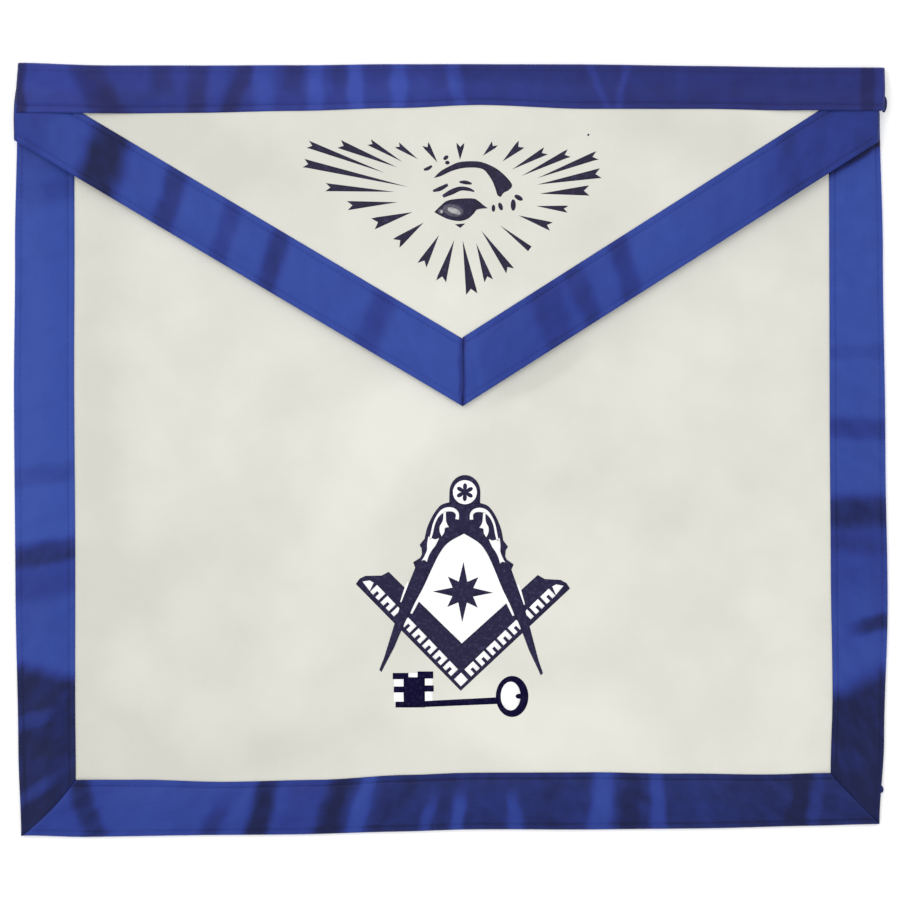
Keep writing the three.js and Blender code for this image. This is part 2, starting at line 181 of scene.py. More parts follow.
Wander = namedtuple("Wander", "along outer sewn")
Corner = namedtuple("Corner", "inset up face_inset face_up")
WaistEnd = namedtuple("WaistEnd", "inset top sewn")
SideCorners = namedtuple("SideCorners", "low low_sewn up up_sewn band band_sewn")
Patch = namedtuple("Patch", "across down length breadth turn amount")
Curl = namedtuple("Curl", "side along reach lift")
Shade = namedtuple("Shade", "along lean tone")
Pucker = namedtuple("Pucker", "along breadth lean lift tone side")
End = namedtuple("End", "outer sewn bulge drop run raised shade")
Trim = namedtuple("Trim", "satin node stitches course shades puckers start end seed")
Tuck = namedtuple("Tuck", "name place radii turn")
Ray = namedtuple("Ray", "turn swing near far spread notch")
Dot = namedtuple("Dot", "centre radii turn")


def table(row, *values):
    """Rows that share their named columns."""
    return [row(*value) for value in values]


# Corners of the borders, measured in from the corners of the outline, in ribbon faces
LOWER_LEFT = Corner(0.12, 0, 1.07, 0.97)
LOWER_RIGHT = Corner(0.1, 0.2, 0.95, 1.09)
UPPER_LEFT = Corner(0.05, 0, 1.04, 0)
UPPER_RIGHT = Corner(0.095, 0, 0.98, 0)

# Ends of the waistband: inset in ribbon faces, and its upper and sewn corners' drop in its faces
WAISTBAND_LEFT = WaistEnd(0.06, 0, 1.14)
WAISTBAND_RIGHT = WaistEnd(0.02, 0.11, 1.1)

# How far each border wanders outwards from a straight line, as a share of its face
LEFT_WANDER = table(
    Wander,
    (0, 0, 0),
    (0.19, 0.05, 0),
    (0.4, 0.083, 0.012),
    (0.66, 0.075, 0),
    (0.88, 0.04, 0.008),
    (1, 0, 0),
)
RIGHT_WANDER = table(
    Wander,
    (0, 0, 0),
    (0.12, 0.08, 0.036),
    (0.31, 0.14, 0.012),
    (0.53, 0.1, 0),
    (0.8, 0.055, 0),
    (1, 0, 0),
)
BOTTOM_WANDER = table(
    Wander,
    (0, 0, 0),
    (0.08, 0.04, 0.01),
    (0.2, 0.035, 0.06),
    (0.32, 0.045, 0.04),
    (0.44, 0.02, -0.03),
    (0.52, 0, -0.056),
    (0.68, 0.03, -0.046),
    (0.8, 0.036, -0.01),
    (0.92, 0.016, 0.02),
    (1, 0, 0),
)
WAISTBAND_WANDER = table(
    Wander,
    (0, 0, 0),
    (0.1, 0, 0.015),
    (0.21, 0.018, 0.064),
    (0.34, 0.038, 0.072),
    (0.47, 0.03, 0.164),
    (0.56, 0.02, 0.1),
    (0.68, -0.016, 0.04),
    (0.8, -0.035, 0),
    (0.9, -0.044, -0.015),
    (1, 0, 0),
)
STRAIGHT = table(Wander, (0, 0, 0), (1, 0, 0))

# Broad dents of the cloth: places as shares of the apron's width and length, lengths and breadths in
# patch spreads, turns in degrees, and how many dent lifts each adds
BODY_DENTS = table(
    Patch,
    (0.16, 0.62, 1.5, 0.7, 70, 0.7),
    (0.33, 0.86, 1.3, 0.6, 15, 0.8),
    (0.5, 0.72, 1.6, 0.9, 5, 0.6),
    (0.7, 0.84, 1.2, 0.5, -65, 1),
    (0.78, 0.62, 1.3, 0.6, -50, 0.8),
    (0.86, 0.45, 1, 0.5, -55, 0.6),
)
FLAP_DENTS = table(
    Patch,
    (0.27, 0.16, 1, 0.6, -35, 0.5),
    (0.51, 0.24, 1.3, 0.8, 0, 0.7),
    (0.74, 0.17, 0.9, 0.6, 40, 0.5),
)

# Where the flap's edges curl up: the side, place from the tip to the corner, reach in curl spreads
# and height in curl lifts
FLAP_CURLS = table(
    Curl,
    (-1, 0.86, 0.8, 0.35),
    (1, 0.36, 1.1, 0.5),
    (1, 0.72, 1.2, 1),
)

# Broad bands of painted light and shade on the cloth, as soft folds and as shadows beside the
# flap's edge and the waistband, placed as the dents are, and the painted lightness that each adds
BODY_BANDS = table(
    Patch,
    (0.397, 0.576, 1.7, 0.4, 68, 1),
    (0.217, 0.567, 1.4, 0.3, 66, 0.3),
    (0.47, 0.46, 1, 0.4, 20, 0.8),
    (0.758, 0.389, 1, 0.6, 30, 0.4),
    (0.61, 0.86, 1.2, 0.38, -8, 1.4),
    (0.62, 0.68, 0.9, 0.6, 60, 0.5),
    (0.09, 0.5, 3.2, 0.34, 90, -0.9),
    (0.181, 0.633, 1.1, 0.4, 40, -0.8),
    (0.426, 0.601, 0.8, 0.25, 40, -0.5),
    (0.613, 0.544, 0.8, 0.3, -15, -0.4),
    (0.722, 0.552, 0.6, 0.25, -40, -0.3),
    (0.095, 0.9, 1.1, 0.5, -20, -1.8),
    (0.29, 0.73, 1.5, 0.7, 0, -0.4),
    (0.87, 0.78, 1.5, 0.5, 90, 0.4),
    (0.304, 0.892, 0.8, 0.3, 20, -0.8),
    # Painted shadow under the flap's right edge, in this row and the next
    (0.664, 0.365, 0.9, 0.25, 35, -0.3),
    (0.6, 0.402, 0.44, 0.1, 31, -3),
    (0.95, 0.3, 1.4, 0.3, 88, -0.5),
)
FLAP_BANDS = table(
    Patch,
    (0.15, 0.075, 1.6, 0.36, -24, -1.4),
    (0.25, 0.12, 1, 0.6, 0, -0.2),
    (0.613, 0.25, 0.9, 0.3, 35, -0.4),
    # Painted shade on the flap beside the waistband
    (0.772, 0.09, 1, 0.32, -10, -0.8),
    (0.5, 0.32, 0.8, 0.4, 10, 0.9),
)

# Painted shade and sheen of the satin along each ribbon, from 0 in its shaded reaches to 1 where
# it shines, and by how many faces each place moves along from the folded edge to the sewn one
LEFT_SHADES = table(
    Shade,
    (0, 0, 0.55),
    (0.09, 0, 0.72),
    (0.16, 0, 0.93),
    (0.3, 0, 1),
    (0.6, 0.4, 0.98),
    (0.7, 0.6, 0.78),
    (0.785, 1.15, 0.84),
    (0.82, 1.15, 0.05),
    (0.93, 0.6, 0.1),
    (1, 0.5, 0.02),
)
RIGHT_SHADES = table(
    Shade,
    (0, -0.4, 0),
    (0.06, -0.8, 0.04),
    (0.145, -1.3, 0.02),
    (0.195, -1.3, 0.8),
    (0.27, -0.9, 0.72),
    (0.34, -0.6, 0.54),
    (0.46, -0.4, 0.82),
    (0.7, -0.3, 0.93),
    (0.9, 0, 0.9),
    (1, 0, 0.6),
)
BOTTOM_SHADES = table(
    Shade,
    (0, 0, 0.56),
    (0.1, 0, 0.68),
    (0.19, 0, 0.66),
    (0.25, 0, 0.6),
    (0.32, 0, 0.5),
    (0.37, 0, 0.24),
    (0.45, 0, 0.2),
    (0.6, 0, 0.2),
    (0.78, 0, 0.2),
    (0.9, 0, 0.12),
    (1, 0, 0.16),
)
WAISTBAND_SHADES = table(
    Shade,
    (0, 0, 0.26),
    (0.28, 0, 0.22),
    (0.48, 0, 0.24),
    (0.56, 0, 0.38),
    (0.8, 0, 0.42),
    (0.88, 0, 0.36),
    (0.94, 0, 0.58),
    (1, 0, 0.56),
)
FLAP_LEFT_SHADES = table(
    Shade,
    (0, 0, 0.55),
    (0.13, 0.4, 0.72),
    (0.27, 0.2, 0.8),
    (0.4, 0.2, 0.86),
    (1, 0, 0.9),
)
FLAP_RIGHT_SHADES = table(
    Shade,
    (0, 0, 0.85),
    (0.08, 0, 0.68),
    (0.15, 0, 0.66),
    (0.3, 0, 0.7),
    (0.43, 0, 0.86),
    (0.66, 0, 0.72),
    (0.8, 0, 0.45),
    (1, 0, 0.36),
)

# Puckers of the satin: place along the run, breadth in pucker spreads, lean from the folded edge
# to the sewn one in faces, lift in pucker lifts, the tone that each adds as painted shade below 0
# and painted highlight above, and the side that it keeps to: -1 by the folded edge, 1 by the sewn
# one and 0 across the whole face
LEFT_PUCKERS = table(
    Pucker,
    (0.11, 0.45, 0, -0.3, -0.2, 1),
    (0.2, 1.6, 0.4, 0.5, 0, 0),
    (0.42, 1.3, 0.4, 0.6, 0, 0),
    (0.52, 0.42, 0.35, -0.4, -0.26, 0),
    (0.575, 0.7, 0.4, 0.5, 0.06, 0),
    (0.632, 0.5, 0.46, -0.7, -0.72, 0),
    (0.672, 0.8, 0.46, -0.2, -0.34, 0),
    (0.735, 1, 0.7, 0.8, 0, 0),
    (0.8, 0.9, 0.9, -0.5, 0, 0),
    (0.868, 0.3, 0.6, 0.6, 0.26, -1),
    (0.91, 0.4, 0.95, -0.3, -0.06, 0),
    (0.966, 0.28, 0.4, 0.3, 0.24, -1),
)
RIGHT_PUCKERS = table(
    Pucker,
    (0.05, 0.5, -0.5, 0.2, 0.06, 1),
    (0.12, 0.9, -1.1, -0.5, 0, 0),
    (0.2, 0.6, -1.1, 0.8, 0, 0),
    (0.249, 0.36, -0.95, -0.6, -0.62, -1),
    (0.3, 0.9, -0.7, 0.6, 0, 0),
    (0.378, 0.6, -0.52, -0.2, -0.24, 0),
    (0.42, 0.66, -0.56, -0.7, -0.62, 0),
    (0.47, 0.8, -0.5, 0.6, 0, 0),
    (0.539, 0.46, -0.38, -0.4, -0.42, 0),
    (0.6, 0.8, -0.4, 0.5, 0, 0),
    (0.652, 0.3, -0.35, -0.3, -0.2, 0),
    (0.78, 1.5, 0.2, 0.5, 0, 0),
    # Painted shadow that the flap's end casts on the ribbon
    (0.934, 0.19, -0.62, -0.2, -0.8, 0),
)
BOTTOM_PUCKERS = table(
    Pucker,
    (0.047, 0.5, -1.3, -0.3, -0.5, 0),
    (0.13, 1.1, -0.5, 0.6, 0.04, 0),
    (0.213, 0.42, -0.15, -0.4, -0.32, -1),
    (0.243, 0.36, -0.25, 0.5, 0.1, 0),
    (0.264, 0.5, -0.25, -0.6, -0.56, 0),
    (0.31, 0.6, 0, 0.5, -0.04, 0),
    (0.352, 0.5, 0, -0.5, -0.28, 0),
    (0.388, 0.38, 0.05, 0.7, 0.56, 0),
    (0.43, 0.7, 0.2, -0.3, -0.06, 0),
    (0.476, 0.26, 0.25, 0.4, 0.34, -1),
    (0.51, 0.27, 0.1, 0.6, 0.5, -1),
    (0.577, 0.28, 0, 0.5, 0.42, -1),
    (0.62, 0.6, 0.1, -0.4, -0.04, 0),
    (0.686, 0.5, 0.42, 0.9, 0.56, 0),
    (0.722, 0.42, 0.4, -0.5, -0.14, 0),
    (0.755, 0.3, 0.4, 0.7, 0.42, 0),
    (0.83, 0.7, 0.5, 0.4, 0.02, 0),
    (0.93, 0.34, 0.95, -0.5, -0.22, 0),
    (0.952, 0.24, 0.95, 0.3, 0.16, 0),
)
WAISTBAND_PUCKERS = table(
    Pucker,
    (0.004, 0.24, 0, 0.2, 0.12, 0),
    (0.022, 0.24, 0, -0.5, -0.4, 0),
    (0.12, 1.2, 0.1, 0.4, 0, 0),
    (0.235, 0.3, 0, 0.3, 0.07, 0),
    (0.302, 0.16, 0.22, 0.6, 0.3, 0),
    (0.331, 0.16, -0.45, 0.6, 0.3, 0),
    (0.42, 0.6, 0.1, 0.3, 0.06, -1),
    (0.494, 0.28, -0.2, 0.7, 0.4, 0),
    (0.53, 0.3, 0.2, 0.3, 0.06, 0),
    (0.56, 0.32, 0, 0.7, 0.42, 0),
    (0.52, 6.5, 0, 0, 0.22, 1),
    (0.586, 0.4, 0, -0.5, -0.1, -1),
    (0.61, 0.32, 0, 0.7, 0.48, 0),
    (0.628, 0.3, 0, -0.4, -0.24, -1),
    (0.656, 0.32, 0, 0.7, 0.4, 0),
    (0.682, 0.42, 0, -0.6, -0.38, -1),
    (0.715, 0.44, 0, 0.6, 0.3, 0),
    (0.76, 8, 0, 0, 0.13, -1),
    (0.745, 0.4, 0.38, -0.6, -0.4, 0),
    (0.77, 0.36, 0.2, 0.5, 0.14, 0),
    (0.793, 0.42, 0, -0.5, -0.34, 0),
    (0.833, 0.42, 0, -0.5, -0.3, -1),
    (0.907, 0.7, -0.58, -0.6, -0.46, 0),
    (0.963, 0.5, 0.3, 0.4, 0.04, 0),
    (0.994, 0.2, 0, -0.3, -0.6, 0),
)
FLAP_LEFT_PUCKERS = table(
    Pucker,
    (0.06, 0.4, 0.3, 0.3, -0.12, 0),
    (0.203, 0.86, 0.36, -0.5, -0.8, 0),
    (0.28, 0.9, 0.3, 0.7, 0, 0),
    (0.348, 0.48, 0.36, -0.6, -0.56, 0),
    (0.4, 0.7, 0.3, 0.6, 0, 0),
    (0.472, 0.4, 0.36, -0.4, -0.4, 0),
    (0.52, 0.6, 0.3, 0.6, 0, 0),
    (0.578, 0.44, 0.36, -0.6, -0.58, 0),
    (0.68, 1.3, 0.3, 0.5, 0, 0),
    (0.807, 0.56, 0.5, -0.5, -0.38, 0),
    (0.88, 0.7, 0.3, 0.5, 0, 0),
    (0.999, 0.13, 0, -0.2, -0.55, 0),
)
FLAP_RIGHT_PUCKERS = table(
    Pucker,
    (0.001, 0.13, 0, -0.2, -0.55, 0),
    (0.036, 0.16, -0.2, 0.3, 0.1, 0),
    (0.11, 0.8, -0.3, 0.5, 0, 0),
    (0.215, 0.72, -0.4, -0.5, -0.3, 0),
    (0.287, 0.46, -0.5, 0.4, -0.32, 0),
    (0.388, 0.46, -0.36, -0.5, -0.46, 0),
    (0.45, 0.9, -0.4, 0.6, 0, 0),
    (0.6, 1.3, -0.4, 0.5, 0, 0),
    (0.78, 0.5, -0.2, -0.3, -0.08, 0),
    (0.9, 0.6, -0.2, 0.3, 0.06, -1),
)

# Where each ribbon is cut at its folded and sewn edges, how far the cut bows back between them,
# how far and over what run its end turns down, how far it is raised on what it overlaps, all in
# millimetres, and how much painted shade it gets where it turns down, painted highlight below 0
HIDDEN_END = End(0, 0, 0, 0, 1, 0, 0)
LEFT_FOOT = End(-0.3, -0.6, -4.2, 0.28, 6, 0, 0)
RIGHT_FOOT = End(0, -0.6, -1.6, 0.28, 4, 0, 0)
BOTTOM_START = End(0.9, 0, 2.1, 0.3, 0.9, 0.65, -0.25)
BOTTOM_END = End(0, 0, 0.5, 0.3, 0.9, 0.6, 0)
FLAP_LEFT_START = End(0, 2, -0.9, 1.2, 2, 0, 0.5)
FLAP_LEFT_END = End(0, -0.5, -1.2, 0.3, 2, 0, 0.3)
FLAP_RIGHT_START = End(0, -0.1, 0, 0.3, 1.2, 0.2, 0.3)
FLAP_RIGHT_END = End(1, 1, 0, 1.3, 1.4, 0, 0.7)
WAISTBAND_START = End(0.2, 0.9, 0, 1.3, 1.4, 0, 0.2)
WAISTBAND_END = End(0.6, -0.1, 0, 1.3, 1.8, 0, 0.5)

# Each ribbon: its satin, the solid that it replaces, its stitches, its course, tables and ends, and
# the seed of its fine unevenness
BORDER_TRIMS = table(
    Trim,
    ("side_satin_left", "side_ribbon_left", "side_satin_left_stitches",
     "left", LEFT_SHADES, LEFT_PUCKERS, HIDDEN_END, LEFT_FOOT, 11),
    ("side_satin_right", "side_ribbon_right", "side_satin_right_stitches",
     "right", RIGHT_SHADES, RIGHT_PUCKERS, RIGHT_FOOT, HIDDEN_END, 23),
    ("bottom_satin", "bottom_ribbon", "bottom_satin_stitches",
     "bottom", BOTTOM_SHADES, BOTTOM_PUCKERS, BOTTOM_START, BOTTOM_END, 37),
)
FLAP_TRIMS = table(
    Trim,
    ("flap_satin_left", "flap_ribbon_left", "flap_stitches_left",
     "slant_left", FLAP_LEFT_SHADES, FLAP_LEFT_PUCKERS, FLAP_LEFT_START, FLAP_LEFT_END, 41),
    ("flap_satin_right", "flap_ribbon_right", "flap_stitches_right",
     "slant_right", FLAP_RIGHT_SHADES, FLAP_RIGHT_PUCKERS, FLAP_RIGHT_START, FLAP_RIGHT_END, 53),
)
WAISTBAND_TRIM = Trim(
    "waistband_satin", "waistband", "waistband_stitches",
    "top", WAISTBAND_SHADES, WAISTBAND_PUCKERS, WAISTBAND_START, WAISTBAND_END, 67,
)

# Small folded ends of satin that show past the outline, one by the lower right corner and one by
# the waistband's right end: place on the plan and height, half-sizes, in millimetres, and turn
CORNER_TUCK = Tuck("corner_tuck", (200.5, -158.2, 1.8), (1.6, 2, 0.7), 20)
WAISTBAND_TUCK = Tuck("waistband_tuck", (201.9, 160.2, 5), (1.3, 3.8, 1.2), -4)


def clamp(value, low=0.0, high=1.0):
    return min(max(value, low), high)


def lerp(low, high, share):
    return low + (high - low) * share


def ease(share):
    t = clamp(share)
    return t * t * (3 - 2 * t)


def bell(offset):
    return math.exp(-offset * offset)


def read_row(rows, column, share):
    """A column of a table at a share of its run, eased from each row to the next."""
    at = clamp(share)
    after = next(i for i in range(1, len(rows)) if rows[i].along >= at)
    low, high = rows[after - 1], rows[after]
    t = ease((at - low.along) / (high.along - low.along))
    return lerp(getattr(low, column), getattr(high, column), t)


class Course:
    """Where a ribbon runs on the plan: its folded edge, its sewn edge and its width."""

    def __init__(self, outer, sewn, outward, rows, width):
        self.ends = [Vector(point) for point in (*outer, *sewn)]
        self.outward = Vector(outward) * width
        self.rows = rows
        self.width = width
        self.length = (self.ends[1] - self.ends[0]).length

    def outer(self, share):
        straight = self.ends[0].lerp(self.ends[1], share)
        return straight + self.outward * read_row(self.rows, "outer", share)

    def sewn(self, share):
        straight = self.ends[2].lerp(self.ends[3], share)
        return straight + self.outward * read_row(self.rows, "sewn", share)

    def at(self, share, inward):
        """The point a length in from the folded edge."""
        return self.outer(share).lerp(self.sewn(share), inward / self.width)


class Form:
    """The apron's edges and heights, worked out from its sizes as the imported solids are."""

    def __init__(self, sizes):
        self.sizes = sizes
        self.middle = sizes.width / 2
        self.set_borders()
        self.set_flap()
        low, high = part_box("waistband")
        crest = max(self.top.outer(i / CREST_STEPS).y for i in range(CREST_STEPS + 1))
        self.shift = Vector((low[0] - self.top.ends[1].x, high[1] - crest))

    def y_at(self, drop):
        return self.sizes.length / 2 - drop

    def side_corners(self, side, lower, upper, end):
        """Where one side's ribbon and the waistband's end have their corners on the plan."""
        face, band = self.sizes.ribbon_face, self.sizes.waistband_face
        bottom = self.y_at(self.sizes.length)
        band_sewn = self.y_at(end.sewn * band)
        low, low_sewn, up, up_sewn, band_end = [
            side * (self.middle - inset * face)
            for inset in (lower.inset, lower.face_inset, upper.inset, upper.face_inset, end.inset)
        ]
        return SideCorners(
            low=(low, bottom + lower.up * face),
            low_sewn=(low_sewn, bottom + lower.face_up * face),
            up=(up, band_sewn - LAYER_GAP),
            up_sewn=(up_sewn, band_sewn - LAYER_GAP),
            band=(band_end, self.y_at(end.top * band)),
            band_sewn=(band_end, band_sewn),
        )

    def set_borders(self):
        face, band = self.sizes.ribbon_face, self.sizes.waistband_face
        left = self.side_corners(-1, LOWER_LEFT, UPPER_LEFT, WAISTBAND_LEFT)
        right = self.side_corners(1, LOWER_RIGHT, UPPER_RIGHT, WAISTBAND_RIGHT)
        lower, lower_sewn = (left.low, right.low), (left.low_sewn, right.low_sewn)
        self.left = Course(
            (left.up, left.low), (left.up_sewn, left.low_sewn), (-1, 0), LEFT_WANDER, face
        )
        self.bottom = Course(lower, lower_sewn, (0, -1), BOTTOM_WANDER, face)
        self.right = Course(
            (right.low, right.up), (right.low_sewn, right.up_sewn), (1, 0), RIGHT_WANDER, face
        )
        self.top = Course(
            (right.band, left.band), (right.band_sewn, left.band_sewn), (0, 1), WAISTBAND_WANDER, band
        )

    def set_flap(self):
        sizes = self.sizes
        side_y = self.y_at(sizes.flap_side)
        self.tip = Vector((sizes.flap_tip_shift, self.y_at(sizes.flap_length)))
        self.flap_left = Vector((-self.middle + sizes.flap_left_inset, side_y))
        self.flap_right = Vector((self.middle - sizes.flap_right_inset, side_y))
        self.slant_left = self.slant(self.flap_left, self.tip, self.flap_left)
        self.slant_right = self.slant(self.tip, self.flap_right, self.flap_right)
        turns = [self.upright(sizes.ribbon_turn, end) for end in (self.flap_left, self.flap_right)]
        self.ramp = min(sizes.waistband_face, sizes.flap_side - max(turns))

    def slant(self, start, end, corner):
        """The course of the ribbon on one of the flap's slanting edges."""
        face = self.sizes.ribbon_face
        rise = Vector((0, self.upright(face, corner)))
        return Course((start, end), (start + rise, end + rise), (0, 0), STRAIGHT, face)

    def upright(self, width, corner):
        """The height, straight up, of a band of this width along a slanting edge."""
        slant = corner - self.tip
        return width * slant.length / abs(slant.x)

    def corner(self, x):
        return self.flap_left if x < self.tip.x else self.flap_right

    def flap_edge(self, x):
        corner = self.corner(x)
        return lerp(self.tip.y, corner.y, (x - self.tip.x) / (corner.x - self.tip.x))

    def patches(self, rows, x, y):
        """The sum of a table's soft patches at a point of the plan."""
        total = 0
        for row in rows:
            dx = x - (row.across - 0.5) * self.sizes.width
            dy = y - self.y_at(row.down * self.sizes.length)
            turn = math.radians(row.turn)
            along = dx * math.cos(turn) + dy * math.sin(turn)
            aside = dy * math.cos(turn) - dx * math.sin(turn)
            length, breadth = row.length * PATCH_SPREAD, row.breadth * PATCH_SPREAD
            total += row.amount * bell(along / length) * bell(aside / breadth)
        return total

    def cloth_tone(self, bands, x, y):
        """Painted light and shade of the cloth from 0 to 1, evenly lit cloth being half-way."""
        return clamp((1 + self.patches(bands, x, y)) / 2)

    def inside_borders(self, x, y):
        """0 over the turned ribbons and 1 well inside them."""
        turn = self.sizes.ribbon_turn
        from_side = self.middle - abs(x) - turn
        from_end = min(y - self.y_at(self.sizes.length), self.y_at(0) - y) - turn
        return ease(from_side / SAG_RUN) * ease(from_end / SAG_RUN)

    def body_top(self, x, y):
        soft = DENT_LIFT * self.patches(BODY_DENTS, x, y) - PANEL_SAG
        return LAYER + self.sizes.panel_wall + soft * self.inside_borders(x, y)

    def below_waistband(self, y):
        return ease((self.y_at(0) - y) / self.ramp)

    def over_side_ribbon(self, x):
        faces = max(UPPER_LEFT.face_inset, UPPER_RIGHT.face_inset)
        inward = self.middle - abs(x) - faces * self.sizes.ribbon_face
        return 1 - ease(inward / STEP_RUN)

    def curls(self, x, y):
        total = 0
        for curl in FLAP_CURLS:
            corner = self.flap_left if curl.side < 0 else self.flap_right
            away = (self.tip.lerp(corner, curl.along) - Vector((x, y))).length
            total += curl.lift * CURL_LIFT * bell(away / (curl.reach * CURL_SPREAD))
        return total

    def flap_under(self, x, y):
        soft = DENT_LIFT * self.patches(FLAP_DENTS, x, y) + self.curls(x, y)
        steps = LAYER * (1 + self.over_side_ribbon(x)) + soft
        return self.body_top(x, y) + LAYER_GAP + steps * self.below_waistband(y)

    def flap_top(self, x, y):
        return self.flap_under(x, y) + self.sizes.flap_wall

    def over_flap_ribbon(self, x, y):
        ribbon_y = self.flap_edge(x) + self.upright(self.sizes.ribbon_face, self.corner(x))
        return ease((ribbon_y - y) / (STEP_RUN / 2) + 1)

    def body_seat(self, x, y):
        """Height of the surface that a ribbon sewn to the body lies on."""
        return self.body_top(x, y) + LAYER_GAP

    def flap_seat(self, x, y):
        return self.flap_top(x, y) + LAYER_GAP

    def waist_seat(self, x, y):
        return self.flap_seat(x, y) + LAYER * self.over_flap_ribbon(x, y)

    def ground_turn(self, _x, _y):
        """Height of the lowest surface of a ribbon turned under the body."""
        return GROUND_GAP

    def flap_turn(self, x, y):
        return self.flap_under(x, y) - self.sizes.satin_wall - TURN_GAP

    def shifted(self, x, y, z):
        """A point of the plan at its place in the model."""
        return Vector((x + self.shift.x, y + self.shift.y, z))


# Meshes

def add_object(name, data):
    item = bpy.data.objects.new(name, data)
    bpy.context.scene.collection.objects.link(item)
    return item


def mesh_object(bm, name, material):
    """An object of a bmesh, which is freed."""
    mesh = bpy.data.meshes.new(name)
    bm.to_mesh(mesh)
    bm.free()
    mesh.materials.append(material)
    return add_object(name, mesh)


def finish_mesh(bm, name, material):
    """Turns a bmesh into a smooth piece of the apron."""
    for face in bm.faces:
        face.smooth = True
    piece = mesh_object(bm, name, material)
    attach(piece, "root")
    return piece


def thicken(piece, wall):
    """Gives a sheet its wall, on the side away from its face."""
    solidify = piece.modifiers.new("Wall", "SOLIDIFY")
    solidify.thickness = wall
    solidify.offset = -1


def cloth_grid(cells_u, cells_v, place):
    """A grid whose points go where place says, from their shares u and v of the sheet.

    place gives the point, its place on the flat cloth and its tone of painted light and shade.
    """
    bm = bmesh.new()
    bmesh.ops.create_grid(bm, x_segments=cells_u, y_segments=cells_v, size=0.5)
    tones = bm.verts.layers.float.new("tone")
    flat = {}
    for vert in bm.verts:
        u, v = vert.co.x + 0.5, vert.co.y + 0.5
        vert.co, flat[vert], vert[tones] = place(u, v)
    lay = bm.loops.layers.uv.new("cloth")
    for face in bm.faces:
        for loop in face.loops:
            loop[lay].uv = flat[loop.vert]
    return bm


def make_cloth(form, name, node, length, wall, place):
    """A white cloth in place of a solid, of cells that fit the cloth's size."""
    cells_u = round(form.sizes.width / CLOTH_CELL)
    cells_v = round(length / CLOTH_CELL)
    piece = finish_mesh(cloth_grid(cells_u, cells_v, place), name, cloth_material())
    thicken(piece, wall)
    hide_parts(node)
    return piece


def make_body(form):
    sizes = form.sizes
    top = form.y_at(0) - PANEL_INSET
    foot = form.y_at(sizes.length)
    up_left, low_left = form.left.ends[0], form.left.ends[1]
    low_right, up_right = form.right.ends[0], form.right.ends[1]

    def place(u, v):
        down = 1 - v
        level = lerp(top, foot, down)
        left = form.left.outer((up_left.y - level) / (up_left.y - low_left.y)).x
        right = form.right.outer((level - low_right.y) / (up_right.y - low_right.y)).x
        x = lerp(left + PANEL_INSET, right - PANEL_INSET, u)
        top_y = form.top.outer(1 - u).y - PANEL_INSET
        foot_y = form.bottom.outer(u).y + PANEL_INSET
        y = lerp(top_y, foot_y, down)
        point = form.shifted(x, y, form.body_top(x, y))
        return point, (x, y), form.cloth_tone(BODY_BANDS, x, y)

    piece = make_cloth(form, "body_cloth", "body_panel", sizes.length, sizes.panel_wall, place)


def make_flap(form):
    sizes = form.sizes
    left = form.flap_left.x + FLAP_INSET
    right = form.flap_right.x - FLAP_INSET

    def place(u, v):
        x = lerp(left, right, u)
        top_y = form.top.outer(1 - u).y - PANEL_INSET
        foot_y = form.flap_edge(x) + form.upright(PANEL_INSET, form.corner(x))
        y = lerp(foot_y, top_y, v)
        point = form.shifted(x, y, form.flap_top(x, y))
        return point, (x, y), form.cloth_tone(FLAP_BANDS, x, y)

    piece = make_cloth(form, "flap_cloth", "flap_panel", sizes.flap_length, sizes.flap_wall, place)


def rounding(distance, run):
    """How far an end has turned down, from 0 at its run to 1 at its cut."""
    rest = 1 - clamp(distance / (run * MM))
    return 1 - math.sqrt(1 - rest * rest)


def cut_back(end, across):
    """How far a ribbon's end is cut back from its course, at a share across its face."""
    return (lerp(end.outer, end.sewn, across) + end.bulge * math.sin(math.pi * clamp(across))) * MM


